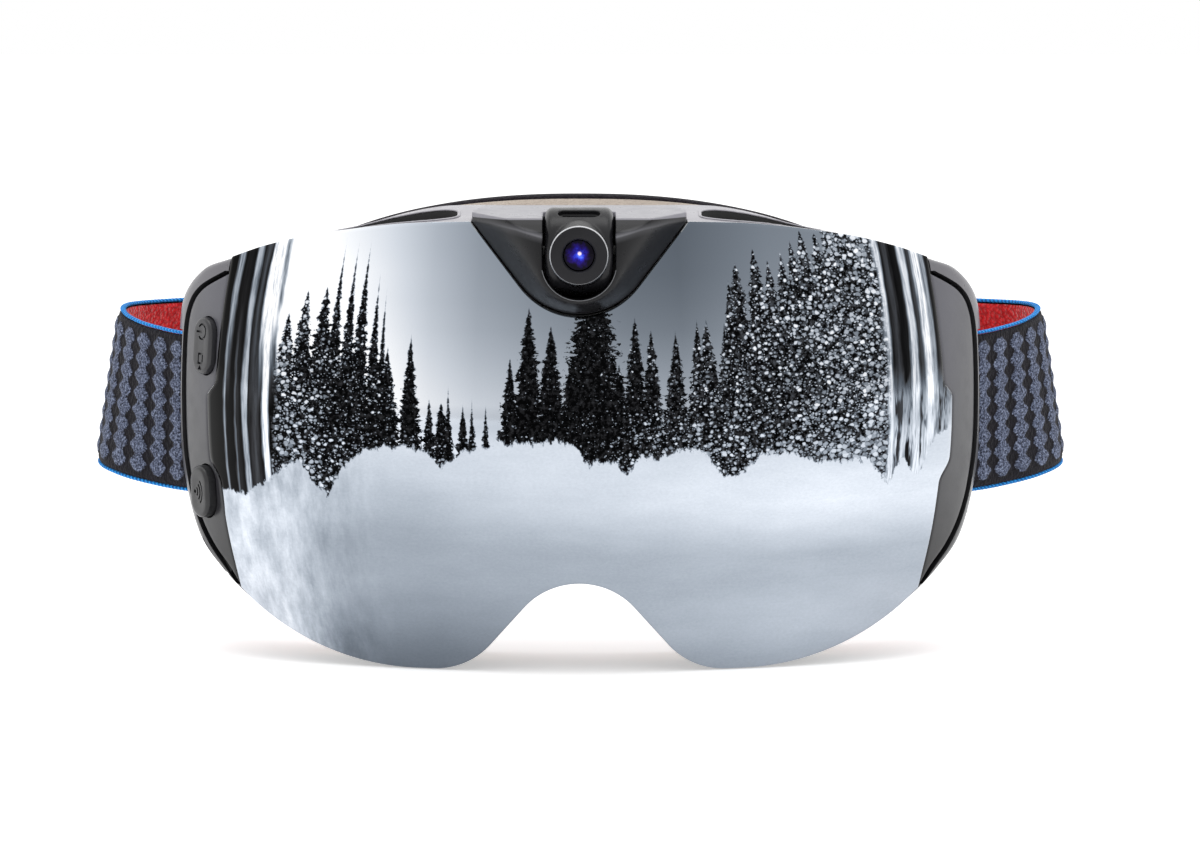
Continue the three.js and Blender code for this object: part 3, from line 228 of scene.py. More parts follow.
def cover_x(z):
    return along(COVER_EDGE, z)


def lens_point(column, v, grow):
    share = column / TOP_X
    low_x = share * FOOT_X
    z = lerp(bottom_z(low_x), top_z(column), v)
    bulge = side_x(lerp(FOOT_Z, TOP_Z, v)) - lerp(FOOT_X, TOP_X, v) + grow
    edge = abs(2 * v - 1) ** 6 * grow * (1 if v > 0.5 else -1)
    return lerp(low_x, column, v) + math.copysign(bulge, column) * abs(share) ** 6, z + edge


def ring_curve(rows, first):
    half = [(r[first], r[first + 1]) for r in rows]
    points = half + [(-x, z) for x, z in reversed(half[1:-1])]
    return lambda t: catmull(points, t, True)


frame_outer, frame_inner = ring_curve(FRAME_RING, 0), ring_curve(FRAME_RING, 2)
foam_outer, foam_inner = ring_curve(FOAM_RING, 0), ring_curve(FOAM_RING, 2)


def opening_outline(distance, stations):
    """The frame's eye opening, drawn in by distance."""
    outline = []
    for i in range(stations):
        t = i / stations
        (x, z), (x1, z1), (x2, z2) = frame_inner(t), frame_inner(t + 0.004), frame_inner(t - 0.004)
        length = math.hypot(x1 - x2, z1 - z2)
        outline.append((x + (z1 - z2) / length * distance, z - (x1 - x2) / length * distance))
    return outline


# ---------------------------------------------------------------- mesh tools
def make(name, points, faces):
    """An object from points in millimetres; its normals point outwards."""
    mesh = bpy.data.meshes.new(name)
    mesh.from_pydata([tuple(c * MM for c in p) for p in points], [], faces)
    tidy_mesh(mesh)
    obj = bpy.data.objects.new(name, mesh)
    scene.collection.objects.link(obj)
    return obj


def tidy_mesh(mesh):
    work = bmesh.new()
    work.from_mesh(mesh)
    bmesh.ops.remove_doubles(work, verts=work.verts, dist=2e-6)
    bmesh.ops.dissolve_degenerate(work, edges=work.edges, dist=1e-7)
    bmesh.ops.recalc_face_normals(work, faces=work.faces)
    work.to_mesh(mesh)
    work.free()
    mesh.update()


def loft(name, rings, closed=False, cap=True):
    """A skin through rings of points. An open one is capped at both ends."""
    n = len(rings[0])
    points = [p for ring in rings for p in ring]
    faces = []
    for i in range(len(rings) if closed else len(rings) - 1):
        a, b = i * n, (i + 1) % len(rings) * n
        faces += [(a + j, a + (j + 1) % n, b + (j + 1) % n, b + j) for j in range(n)]
    if not closed and cap:
        faces += [tuple(range(n)), tuple(range(len(points) - n, len(points)))]
    return make(name, points, faces)


def sheet_faces(nu, nv):
    """The faces of a closed sheet: two grids of nu by nv points, one behind the other, and its rim."""
    faces, off = [], nu * nv
    for i in range(nu - 1):
        for j in range(nv - 1):
            a = i * nv + j
            faces.append((a, a + nv, a + nv + 1, a + 1))
            faces.append((off + a, off + a + 1, off + a + nv + 1, off + a + nv))
    rim = [i * nv for i in range(nu)] + [(nu - 1) * nv + j for j in range(1, nv)]
    rim += [i * nv + nv - 1 for i in range(nu - 2, -1, -1)] + [j for j in range(nv - 2, 0, -1)]
    return faces + [(a, b, off + b, off + a) for a, b in zip(rim, rim[1:] + rim[:1])]


def plate(name, point, us, vs):
    """A plate whose faces are given by point(u, v, side), side 0 in front and 1 behind."""
    nu, nv = len(us), len(vs)
    return make(name, [point(u, v, side) for side in (0, 1) for u in us for v in vs], sheet_faces(nu, nv))


def prism(name, outline, low, high, axis):
    """A prism of a 2-D outline along an axis: y takes (x, z), z takes (x, y), x takes (y, z)."""
    order = {"x": (2, 0, 1), "y": (0, 2, 1), "z": (0, 1, 2)}[axis]
    return loft(name, [[tuple((a, b, h)[k] for k in order) for a, b in outline] for h in (low, high)])


def box(name, x0, x1, y0, y1, z0, z1):
    return prism(name, [(x0, y0), (x1, y0), (x1, y1), (x0, y1)], z0, z1, "z")


def rod(name, start, end, radius, segments=32, radius_end=None):
    start, end = Vector(start), Vector(end)
    turn = (end - start).to_track_quat("Z", "Y")
    rings = []
    for centre, r in ((start, radius), (end, radius_end or radius)):
        ring = [turn @ Vector((r * math.cos(a), r * math.sin(a), 0)) + centre for a in circle(segments)]
        rings.append(ring)
    return loft(name, rings)


def circle(segments):
    return [2 * math.pi * k / segments for k in range(segments)]


def distances(path):
    """The distance along a path to each of its points."""
    return np.concatenate([[0], np.cumsum(np.linalg.norm(np.diff(path, axis=0), axis=1))])


def unit_rows(rows):
    return rows / np.linalg.norm(rows, axis=1)[:, None]


def turned(name, profile, segments, centre):
    """A closed (radius, distance towards -Y) profile revolved about the line through centre along Y."""
    rings = []
    for a in circle(segments):
        rings.append([(centre[0] + r * math.cos(a), centre[1] - d, centre[2] + r * math.sin(a)) for r, d in profile])
    return loft(name, rings, closed=True)


def fixed(obj):
    """Makes the modifiers' result the object's own mesh."""
    bpy.context.view_layer.update()
    graph = bpy.context.evaluated_depsgraph_get()
    mesh = bpy.data.meshes.new_from_object(obj.evaluated_get(graph))
    obj.modifiers.clear()
    old, obj.data = obj.data, mesh
    bpy.data.meshes.remove(old)
    return obj


def combine(base, tool, operation="DIFFERENCE", keep=False):
    m = base.modifiers.new("cut", "BOOLEAN")
    m.operation, m.object, m.solver = operation, tool, "MANIFOLD"
    fixed(base)
    if not keep:
        bpy.data.objects.remove(tool)
    return base


def cut(base, *tools):
    for tool in tools:
        combine(base, tool)
    return base


def join_all(base, *tools):
    for tool in tools:
        combine(base, tool, "UNION")
    return base


def moved(obj, matrix):
    """Moves an object's mesh by a matrix in millimetres."""
    m = matrix.copy()
    m.translation = m.translation * MM
    obj.data.transform(m)
    tidy_mesh(obj.data)
    return obj


def mirrored(obj):
    obj.data.transform(Matrix.Scale(-1, 4, (1, 0, 0)))
    tidy_mesh(obj.data)
    return obj


def remeshed(obj, voxel, rounds):
    """Soft moulded edges: an even remesh, then rounds of smoothing."""
    m = obj.modifiers.new("remesh", "REMESH")
    m.mode, m.voxel_size, m.adaptivity = "VOXEL", voxel * MM, 0.0
    fixed(obj)
    s = obj.modifiers.new("smooth", "SMOOTH")
    s.factor, s.iterations = 0.5, rounds
    return fixed(obj)


def bevelled(obj, width, segments=3, angle=40):
    m = obj.modifiers.new("bevel", "BEVEL")
    m.width, m.segments, m.limit_method, m.angle_limit = width * MM, segments, "ANGLE", math.radians(angle)
    m.use_clamp_overlap = True
    return fixed(obj)


def shade(obj, angle=35):
    obj.data.shade_smooth()
    obj.data.set_sharp_from_angle(angle=math.radians(angle))
    return obj


def place(obj, body, slot, look, nodes=(), angle=35):
    """Gives a finished piece its shading, material, body and the CAD nodes it stands for; the slot argument is not
    used.
    """
    shade(obj, angle)
    slots = obj.data.materials
    if not isinstance(look, list):
        slots.clear()
        look = [look]
    for material in look[len(slots):]:
        slots.append(material)
    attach(obj, body)
    if nodes:
        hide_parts(*nodes)
    return obj


# ---------------------------------------------------------------- materials
def rgb(code):
    """A display colour such as 1f8fe0 as linear light."""
    values = [int(code[i:i + 2], 16) / 255 for i in (0, 2, 4)]
    return tuple(v / 12.92 if v <= 0.04045 else ((v + 0.055) / 1.055) ** 2.4 for v in values) + (1.0,)


def light(level):
    """A display level from 0 to 255 as linear light."""
    return rgb("%02x" % level * 3)[0]


def linked(tree, kind, inputs=None, **settings):
    """A new node; an input is given as a socket, a Value, a colour code or a plain number."""
    node = tree.nodes.new(kind)
    for key, value in settings.items():
        setattr(node, key, value)
    for key, value in (inputs or {}).items():
        value = getattr(value, "socket", value)
        if isinstance(value, bpy.types.NodeSocket):
            tree.links.new(value, node.inputs[key])
        else:
            node.inputs[key].default_value = rgb(value) if isinstance(value, str) else value
    return node


class Value:
    """A number that varies from place to place; arithmetic on it becomes Math nodes."""

    def __init__(self, tree, socket):
        self.tree, self.socket = tree, socket

    def math(self, operation, *others, first=None):
        values = (first, self) if first is not None else (self, *others)
        node = linked(self.tree, "ShaderNodeMath", dict(enumerate(values)), operation=operation)
        return Value(self.tree, node.outputs[0])

    def __add__(self, other):
        return self.math("ADD", other)

    def __sub__(self, other):
        return self.math("SUBTRACT", other)

    def __rsub__(self, other):
        return self.math("SUBTRACT", first=other)

    def __mul__(self, other):
        return self.math("MULTIPLY", other)

    def __truediv__(self, other):
        return self.math("DIVIDE", other)

    def __pow__(self, other):
        return self.math("POWER", other)

    def __abs__(self):
        return self.math("ABSOLUTE")

    __radd__, __rmul__ = __add__, __mul__


def blend(share, a, b):
    return (b - a) * share + a


class Look:
    """A node material built up piece by piece; places are object coordinates in metres."""

    def __init__(self, name, **settings):
        self.material = bpy.data.materials.new(name)
        self.material.use_nodes = True
        self.tree = self.material.node_tree
        self.shader = self.tree.nodes["Principled BSDF"]
        self.place = self.add("ShaderNodeTexCoord").outputs["Object"]
        for key, value in settings.items():
            self.shader.inputs[key.replace("_", " ")].default_value = value

    def add(self, kind, inputs=None, **settings):
        return linked(self.tree, kind, inputs, **settings)

    def value(self, kind, inputs=None, output=0, **settings):
        return Value(self.tree, self.add(kind, inputs, **settings).outputs[output])

    def stretched(self, x, y, z):
        return self.add("ShaderNodeMapping", {"Vector": self.place, "Scale": (x, y, z)}).outputs[0]

    def noise(self, scale, detail=3.0, rough=0.5, vector=None):
        inputs = {"Vector": vector or self.place, "Scale": scale, "Detail": detail, "Roughness": rough}
        return self.value("ShaderNodeTexNoise", inputs, "Fac")

    def cells(self, scale, feature="F1", vector=None):
        inputs = {"Vector": vector or self.place, "Scale": scale}
        return self.value("ShaderNodeTexVoronoi", inputs, "Distance", feature=feature)

    def span(self, value, low, high, to_low=0.0, to_high=1.0):
        inputs = {0: value, 1: low, 2: high, 3: to_low, 4: to_high}
        return self.value("ShaderNodeMapRange", inputs, interpolation_type="SMOOTHSTEP")

    def ramp(self, value, *stops):
        node = self.add("ShaderNodeValToRGB", {0: value})
        elements = node.color_ramp.elements
        while len(elements) < len(stops):
            elements.new(0.5)
        for element, (position, code) in zip(elements, stops):
            element.position, element.color = position, rgb(code)
        return node.outputs[0]

    def curve(self, value, *points):
        """A value read off the straight lines between (key, value) points."""
        low, high = points[0][0], points[-1][0]
        least, most = min(v for _, v in points), max(v for _, v in points) + 1e-6
        node = self.add("ShaderNodeFloatCurve", {1: self.value("ShaderNodeMapRange", {0: value, 1: low, 2: high})})
        line = node.mapping.curves[0]
        while len(line.points) < len(points):
            line.points.new(0.5, 0.5)
        for point, (key, level) in zip(line.points, points):
            point.location = ((key - low) / (high - low), (level - least) / (most - least))
            point.handle_type = "VECTOR"
        node.mapping.update()
        return Value(self.tree, node.outputs[0]) * (most - least) + least

    def mix(self, share, a, b, how="MIX"):
        return self.add("ShaderNodeMix", {0: share, 6: a, 7: b}, data_type="RGBA", blend_type=how).outputs[2]

    def grey(self, level):
        return self.add("ShaderNodeCombineColor", {0: level, 1: level, 2: level}).outputs[0]

    def axes(self):
        """The x, y and z of a place, in millimetres."""
        parts = self.add("ShaderNodeSeparateXYZ", {0: self.place})
        return [Value(self.tree, parts.outputs[i]) * 1000.0 for i in range(3)]

    def attribute(self, name):
        return self.value("ShaderNodeAttribute", None, "Fac", attribute_name=name)

    def finish(self, colour, rough=None, *layers):
        """Links the colour, the roughness and layers of bump, each (height, distance in mm)."""
        self.tree.links.new(colour, self.shader.inputs["Base Color"])
        if rough is not None:
            self.tree.links.new(rough.socket, self.shader.inputs["Roughness"])
        normal = None
        for height, distance in layers:
            inputs = {"Height": height, "Distance": distance * MM, "Strength": 1.0}
            if normal is not None:
                inputs["Normal"] = normal
            normal = self.add("ShaderNodeBump", inputs).outputs[0]
        if normal is not None:
            self.tree.links.new(normal, self.shader.inputs["Normal"])
        return self.material


def moulding(name, dark, pale, rough, grain=0.02, speck=2600.0, metal=0.0, coat=0.0, shine=0.5):
    """Moulded plastic: slow colour drift, fine spark-eroded grain and a little handling wear in the gloss."""
    look = Look(name, Metallic=metal, Coat_Weight=coat, Coat_Roughness=0.25, Specular_IOR_Level=shine)
    colour = look.ramp(look.noise(60, 3, 0.6), (0.3, dark), (0.75, pale))
    wear = look.span(look.noise(300, 4, 0.65), 0.25, 0.8, rough - 0.05, rough + 0.08)
    fine, coarse = look.noise(speck, 2, 0.5), look.noise(speck * 0.3, 2, 0.5)
    return look.finish(colour, wear, (fine, grain), (coarse, grain * 0.5))


def graphite(name, low, high, rough=0.34, metal_share=0.0, edge=0.0, sides=0.0):
    """Graphite lacquer with a fine metal flake, with painted light and shade: lighter towards the top, darker at the
    foot, and painted shade by shares beyond the sides.
    """
    look = Look(name, Metallic=metal_share, Coat_Weight=0.2, Coat_Roughness=0.18, Specular_IOR_Level=0.4)
    x, _, z = look.axes()
    # Painted light and shade: darker at the foot, lighter towards the top.
    tone = look.mix(look.span(z, -36.0, 40.0), low, high)
    # Painted shade towards the outer edge and beyond the sides.
    for share, start, end, dark in ((edge, 87.0, 95.0, "0c0c0e"), (sides, 62.0, 78.0, "1c1c1f")):
        if share:
            tone = look.mix(look.span(abs(x), start, end) * share, tone, dark)
    flake = look.grey(look.span(look.cells(5200), 0.0, 0.5, 1.0, 0.84))
    wear = look.span(look.noise(240, 4, 0.6), 0.25, 0.8, rough - 0.05, rough + 0.07)
    return look.finish(look.mix(1.0, tone, flake, "MULTIPLY"), wear, (look.noise(3000, 2, 0.5), 0.012))


def bezel_look():
    """Charcoal moulding with painted light: faces turned up, and the top above the roof line, are painted the lighter
    grey of the lit frame top.
    """
    look = Look("charcoal_moulding", Specular_IOR_Level=0.16, Coat_Weight=0.05, Coat_Roughness=0.2)
    normal = look.add("ShaderNodeNewGeometry").outputs["Normal"]
    upward = look.value("ShaderNodeSeparateXYZ", {0: normal}, 2)
    x, _, z = look.axes()
    # Painted light: faces turned up, and all above the roof line, are painted a lighter grey.
    top = look.span(upward, 0.86, 0.97) * look.span(z, 51.6, 52.4)
    top = top.math("MAXIMUM", look.span(z, 52.85, 53.05))
    body = look.ramp(look.noise(60, 3, 0.6), (0.3, "121214"), (0.75, "1a1a1c"))
    # A painted highlight, a lighter line, follows the crease from the recess to the corner.
    above = z - look.curve(abs(x), (8.0, 49.0), (14.3, 50.75), (20.5, 51.9), (24.6, 52.3))
    crease_highlight = look.curve(above, (-1.5, 0.0), (-0.3, 0.3), (0.1, 1.0), (0.5, 0.55), (1.3, 0.0))
    crease_highlight = crease_highlight * look.curve(abs(x), (8.6, 0.95), (13.0, 0.55), (20.0, 0.25), (24.6, 0.0))
    colour = look.mix(top, look.mix(crease_highlight, body, "77777c"), "828188")
    wear = look.span(look.noise(300, 4, 0.65), 0.25, 0.8, 0.26, 0.36)
    return look.finish(colour, wear, (look.noise(2600, 2, 0.5), 0.008))


def metal(name, code, rough, scale=900.0, foot=0.0):
    """Brushed metal; foot is how far a painted shade darkens it below the camera's middle."""
    look = Look(name, Metallic=1.0)
    brushed = look.noise(scale, 4, 0.6, look.stretched(1, 1, 0.08))
    colour = look.mix(look.span(brushed, 0.3, 0.7, 0.0, 0.35), code, "6d6e70")
    # Painted shade: darker below the camera's middle.
    if foot:
        colour = look.mix(look.span(look.axes()[2], CAM_Z + 3.5, CAM_Z - 5.5, 0.0, foot), colour, "3c3c3f")
    return look.finish(colour, look.span(brushed, 0.2, 0.8, rough - 0.06, rough + 0.1), (brushed, 0.01))


# The mirror coating carries a painted reflection of the winter scene that the lens shows: sky, conifers and snow, as
# a tint in its colour.
# Each tree: x of its trunk, height of its tip, half-width at its foot, and how late it widens.
TREES = [
    (-11.8, 32.7, 5.2, 0.8), (-16.0, 21.2, 3.2, 0.8), (-6.6, 28.6, 5.0, 0.8), (3.3, 43.0, 9.8, 0.7),
    (-1.5, 22.0, 5.0, 0.8), (9.2, 20.0, 4.0, 0.8), (13.0, 30.6, 4.4, 0.8), (16.7, 27.9, 3.8, 0.8),
    (22.4, 27.6, 4.4, 0.9), (27.5, 30.4, 3.8, 0.9), (29.7, 29.9, 5.0, 0.8), (33.9, 29.2, 4.2, 0.9),
    (35.6, 38.9, 4.6, 0.8), (37.6, 42.5, 6.2, 0.7), (42.3, 45.7, 6.0, 0.7), (45.6, 43.0, 5.2, 0.7),
    (49.0, 44.6, 5.6, 0.7), (51.8, 47.5, 5.4, 0.7), (54.6, 49.6, 5.6, 0.6), (58.2, 48.8, 5.6, 0.6),
    (61.5, 51.6, 6.2, 0.5), (65.4, 56.0, 7.5, 0.4), (70.0, 60.0, 7.5, 0.3), (-39.2, 26.5, 3.4, 0.9),
    (-44.6, 23.3, 4.4, 0.9), (-30.2, 16.0, 1.5, 1.2), (-34.6, 11.6, 1.9, 0.8), (-31.8, 10.5, 2.6, 0.7),
    (-26.8, 10.9, 1.7, 1.0), (-24.7, 13.0, 1.3, 1.2), (-21.5, 11.8, 1.3, 1.2), (-47.9, 42.5, 3.6, 1.4),
    (-45.9, 40.5, 2.6, 1.5), (-51.2, 51.0, 4.6, 1.5), (-54.2, 52.0, 4.6, 1.7), (-57.4, 52.0, 4.8, 1.7),
    (-60.4, 36.5, 5.2, 0.7), (-65.0, 36.0, 5.2, 0.8), (-69.0, 30.0, 5.0, 0.7),
]
# The height at which the snow ends, by x.
SNOW_LINE = [
    (-88, -12), (-80, -13.5), (-72, -8), (-66, -4), (-62, -10), (-59, -12), (-55, -5), (-50, -1),
    (-41, 0.2), (-36, -0.5), (-32, -4.5), (-28, -1), (-18, 1.2), (-9, 1.5), (-1, 1.5), (1.5, -3.5),
    (5, -3), (8, -2.5), (11, -6), (14, -2), (20, -1.8), (25, 0), (29, -1), (34, -7), (38, -6),
    (42, -1.5), (50, -2), (56, -4), (62, -4), (68, -4), (73, -10), (76, -4), (80, -9), (84, 0), (88, 2),
]
# Brightness of the drawn-out bands beside the lens's edges, by distance from the middle.
LEFT_BANDS = [
    (62, 0.9), (70.6, 0.85), (71.6, 0.3), (72.4, 1), (75.3, 1), (75.8, 0.05), (76.6, 0.24), (77.6, 0.04),
    (78.2, 0.6), (79, 0.65), (79.6, 0.03), (81, 0.06), (82.2, 0.02), (82.8, 0.5), (83.5, 0.6),
    (84.1, 0.01), (88, 0.01),
]
LOWER_LEFT_BANDS = [
    (62, 0.02), (72.6, 0.02), (73.1, 1), (74.1, 1), (74.6, 0.04), (76, 0.2), (77.8, 0.05), (78.1, 0.7),
    (78.9, 0.65), (79.4, 0.03), (80.8, 0.1), (81.1, 0.4), (81.5, 0.02), (83.3, 0.03), (83.7, 0.6),
    (84.1, 0.01), (88, 0.01),
]
RIGHT_BANDS = [
    (62, 0.4), (71.8, 0.45), (72.5, 0.9), (73.3, 0.8), (73.9, 0.05), (75.4, 0.18), (76.2, 0.03),
    (77.8, 0.05), (78.6, 0.8), (79.8, 0.75), (80.3, 0.08), (81.2, 0.2), (81.9, 0.85), (83, 0.9),
    (83.7, 0.5), (84.4, 0.55), (84.9, 0.03), (88, 0.08),
]
# How thickly snow lies on the trees, and how much light reaches their needles, by x.
SNOW_ON_TREES = [
    (-88, 0.8), (-70, 0.78), (-60, 0.5), (-46, 0.34), (-38, 0.22), (-5, 0.16), (6, 0.2), (16, 0.4),
    (34, 0.56), (50, 0.66), (62, 0.82), (88, 0.9),
]
NEEDLE_LIGHT = [(-88, 0.05), (-46, 0.03), (6, 0.03), (34, 0.08), (62, 0.12), (88, 0.12)]
# The sky's brightness by height, its factor by x, and how much of that factor counts, by height.
SKY = [
    (0, 0.78), (8, 0.66), (14.5, 0.571), (21, 0.49), (27, 0.423), (33.5, 0.376), (40, 0.346),
    (46, 0.319), (55, 0.29),
]
SKY_ACROSS = [
    (-88, 3.0), (-66, 3.0), (-47, 2.1), (-35, 1.43), (-24, 1), (-12, 0.78), (0, 0.62), (12, 0.5),
    (24, 0.45), (35, 0.6), (46, 0.75), (60, 0.85), (88, 1),
]
SKY_FADE = [(0, 0.3), (14.5, 0.6), (27, 0.85), (40, 1), (55, 1)]
# Display levels of the snow by height, on the left and on the right.
SNOW_LEFT = [
    (-49, 132), (-43, 143), (-37, 156), (-31, 168), (-25, 171), (-19, 176), (-13, 192), (-7.5, 208),
    (-1.6, 218), (2, 228),
]
SNOW_RIGHT = [
    (-49, 179), (-43, 187), (-37, 188), (-31, 184), (-25, 188), (-19, 212), (-13, 234), (-7.5, 230),
    (-1.6, 222), (2, 232),
]
# The reflected room is not even from top to bottom: this painted shade and light by height, laid on the painted
# reflection, levels it.
MIRROR_GAIN = [
    (-55, 1.0), (-43, 1.02), (-35, 0.96), (-28, 0.92), (-18, 0.88), (-8, 0.82), (5, 0.8), (10, 1.12),
    (55, 1.12),
]


def mirror_look():
    # The colour is a painted reflection of a winter scene, with its own painted light and shade.
    look = Look("mirror_painted_reflection", Metallic=1.0)
    flat_x, _, z = look.axes()
    # x follows the curved side edges, so that drawn-out shapes run along them
    lift, half_width = z - 7.0, 86.1
    x = flat_x / (half_width - lift * lift * 0.0033) * half_width
    away = abs(x)
    is_left = x.math("LESS_THAN", 0.0)

    def spot(across, upward):
        return look.add("ShaderNodeCombineXYZ", {0: x * across, 2: z * upward}).outputs[0]

    def drawn(across, upward, scale, detail=3.0, rough=0.6):
        return look.noise(scale, detail, rough, spot(across, upward))

    # trees: slender crowns with ragged tiers
    ragged = drawn(0.75, 1.4, 0.62, 4, 0.72) - 0.5
    tier = ((z + drawn(1, 1, 0.14, 1) * 12.0) * -0.5).math("FRACT")
    width = tier * 0.26 + 0.8 + ragged * 2.3
    widest = None
    for tree_x, tip, foot, late in TREES:
        down = look.value("ShaderNodeMapRange", {0: z, 1: tip, 2: 0.0})
        tree = down ** late * foot * width - abs(x - tree_x)
        widest = tree if widest is None else widest.math("MAXIMUM", tree)
    crown = look.span(widest, 0.03, 0.35)
    line = look.curve(x, *SNOW_LINE) + (drawn(1.0, 0.5, 0.5, 4, 0.7) - 0.5) * 7.0
    above = look.span(z - line, -0.4, 0.5)
    # snow caught on the branches: small uneven flecks, thicker towards the right and near the ground
    warp = look.add("ShaderNodeTexNoise", {"Vector": spot(1, 1), "Scale": 0.9, "Detail": 2.0}).outputs["Color"]
    bent = look.add("ShaderNodeVectorMath", {0: spot(1.0, 1.25), 1: warp}, operation="ADD").outputs[0]
    density = look.curve(x, *SNOW_ON_TREES) + look.span(z, 12.0, -4.0, 0.0, 0.16)
    density = density + (drawn(1, 1, 0.12, 3, 0.6) - 0.5) * 0.9
    flecks = None
    for scale, size, strength in ((0.7, 0.5, 1.0), (1.35, 0.42, 0.75)):
        cell = look.add("ShaderNodeTexVoronoi", {"Vector": bent, "Scale": scale})
        bright = look.value("ShaderNodeSeparateColor", {0: cell.outputs["Color"]}) * 0.75 + 0.25
        fleck = look.span(density * size - cell.outputs["Distance"], -0.1, 0.12) * bright * strength
        flecks = fleck if flecks is None else flecks.math("MAXIMUM", fleck)
    sky = look.curve(z, *SKY) * blend(look.curve(z, *SKY_FADE), 1.0, look.curve(x, *SKY_ACROSS))
    sky = sky.math("MINIMUM", 0.93)
    # snow: grey-blue below on the left, lighter on the right, with drifts, grain and hollows
    falling, rising = (look.curve(z, *[(k, light(v)) for k, v in rows]) for rows in (SNOW_LEFT, SNOW_RIGHT))
    snow = blend(look.curve(x, (-36, 0), (48, 1)), falling, rising)
    snow = blend(look.span(x, -58.0, -78.0), snow, light(214))
    relief = (drawn(0.5, 1.7, 0.06, 6, 0.62) - 0.5) * 0.34 + (drawn(1.0, 1.8, 1.1, 4, 0.7) - 0.5) * 0.22
    hollows = (drawn(1.2, 0.45, 0.16, 5, 0.65) - 0.5) * look.span(x, -40.0, -72.0) * 1.7
    ground = blend(look.span(z - line, -0.5, 0.7), snow * (relief + hollows + 1.0), sky)
    needles = look.span(drawn(1, 1, 0.8, 3, 0.7), 0.45, 0.75) * look.curve(x, *NEEDLE_LIGHT) + 0.002
    painted_reflection = blend(crown * above, ground, blend(flecks, needles, 0.86))
    # drawn-out bands beside the edges
    drift = away + (drawn(0.5, 0.05, 1.0, 3, 0.6) - 0.5) * 1.6
    left, lower_left, right = (look.curve(drift, *rows) for rows in (LEFT_BANDS, LOWER_LEFT_BANDS, RIGHT_BANDS))
    bands = blend(is_left, right, blend(look.span(z, 34.0, 6.0), left, lower_left))
    bands = bands.math("MAXIMUM", 0.0) ** 1.6
    washed = look.span(z, 18.0, -3.0, 0.0, 0.85) * (1.0 - is_left)
    washed = washed * look.span(drawn(1.4, 0.16, 0.55, 3, 0.6), 0.6, 0.48)
    bands = blend(washed, bands, 0.92) * look.span(drawn(1.6, 0.1, 1.2, 3, 0.65), 0.3, 0.6, 0.55, 1.1)
    start = drawn(1.0, 0.2, 0.4, 3, 0.6) * 5.0 + blend(is_left, 72.5, 71.5)
    painted_reflection = blend(look.span(away - start, -3.4, -1.6) * above, painted_reflection, bands)
    painted_reflection = painted_reflection * look.curve(z, *MIRROR_GAIN)
    stops = ((0.0, "f4f5ff"), (0.12, "c6d6ea"), (0.3, "d3e0f0"), (0.7, "eaf1fb"), (1.0, "fcfdff"))
    colour = look.mix(1.0, look.grey(painted_reflection), look.ramp(painted_reflection, *stops), "MULTIPLY")
    return look.finish(colour, look.span(look.noise(55, 3, 0.6), 0.3, 0.7, 0.045, 0.075))


def clear_edge_look():
    look = Look("lens_edge", Coat_Weight=1.0, Coat_Roughness=0.05)
    colour = look.ramp(look.noise(700, 3, 0.6), (0.3, "6f7276"), (0.7, "a6a9ad"))
    rough = look.span(look.noise(1400, 3, 0.6), 0.3, 0.7, 0.16, 0.3)
    return look.finish(colour, rough, (look.noise(3200, 2, 0.5), 0.008))


def smoke_look():
    look = Look("smoke_sheet", Coat_Weight=1.0, Coat_Roughness=0.04)
    colour = look.mix(look.span(look.axes()[2], -45.0, 50.0), "3d4047", "1c1d21")
    return look.finish(colour, look.span(look.noise(90, 3, 0.6), 0.3, 0.7, 0.08, 0.16))


def glass_look():
    """Multicoated front element: blue in the middle, violet further out, nearly black at the rim, with a small
    painted highlight.
    """
    look = Look("coated_glass", Metallic=1.0, Coat_Weight=0.15, Coat_Roughness=0.02)
    x, _, z = look.axes()
    up = z - CAM_Z

    def distance(centre_x, centre_up):
        dx, dz = x - centre_x, up - centre_up
        return (dx * dx + dz * dz).math("SQRT")

    swirl = look.noise(520, 4, 0.6)
    reach = (distance(0.0, 0.0) + (swirl - 0.5) * 5.0) / 4.3
    stops = ((0.0, "5570f4"), (0.15, "2c3cc8"), (0.32, "1e1482"), (0.5, "180848"), (0.68, "05020e"))
    # A small painted highlight, pinkish white, just above the middle.
    spot = look.span(distance(0.15, 0.45) + swirl * 0.5, 0.85, 0.45)
    colour = look.mix(spot, look.ramp(reach, *stops), "ffe6ee")
    return look.finish(colour, look.span(swirl, 0.3, 0.7, 0.05, 0.12))


def foam_look(name, tones, pit):
    """Open-cell foam: small pores in two sizes and a slightly uneven colour."""
    look = Look(name, Roughness=0.95, Sheen_Weight=0.2, Sheen_Roughness=0.6, Specular_IOR_Level=0.2)
    pores, fine = look.cells(950), look.cells(2300)
    tone = look.ramp(look.noise(70, 4, 0.6), *zip((0.3, 0.55, 0.8), tones))
    colour = look.mix(look.span(pores, 0.05, 0.42, 0.55, 0.0), tone, pit)
    return look.finish(colour, None, (pores, 0.5), (fine, 0.2))


def fleece_look():
    look = Look("brushed_fleece", Roughness=1.0, Sheen_Weight=0.12, Sheen_Roughness=0.5, Specular_IOR_Level=0.1)
    tufts = look.noise(1500, 4, 0.75)
    colour = look.ramp(tufts, (0.3, "0b080d"), (0.55, "1a141d"), (0.8, "3a303c"))
    return look.finish(colour, None, (tufts, 0.55), (look.noise(420, 3, 0.6), 0.5))


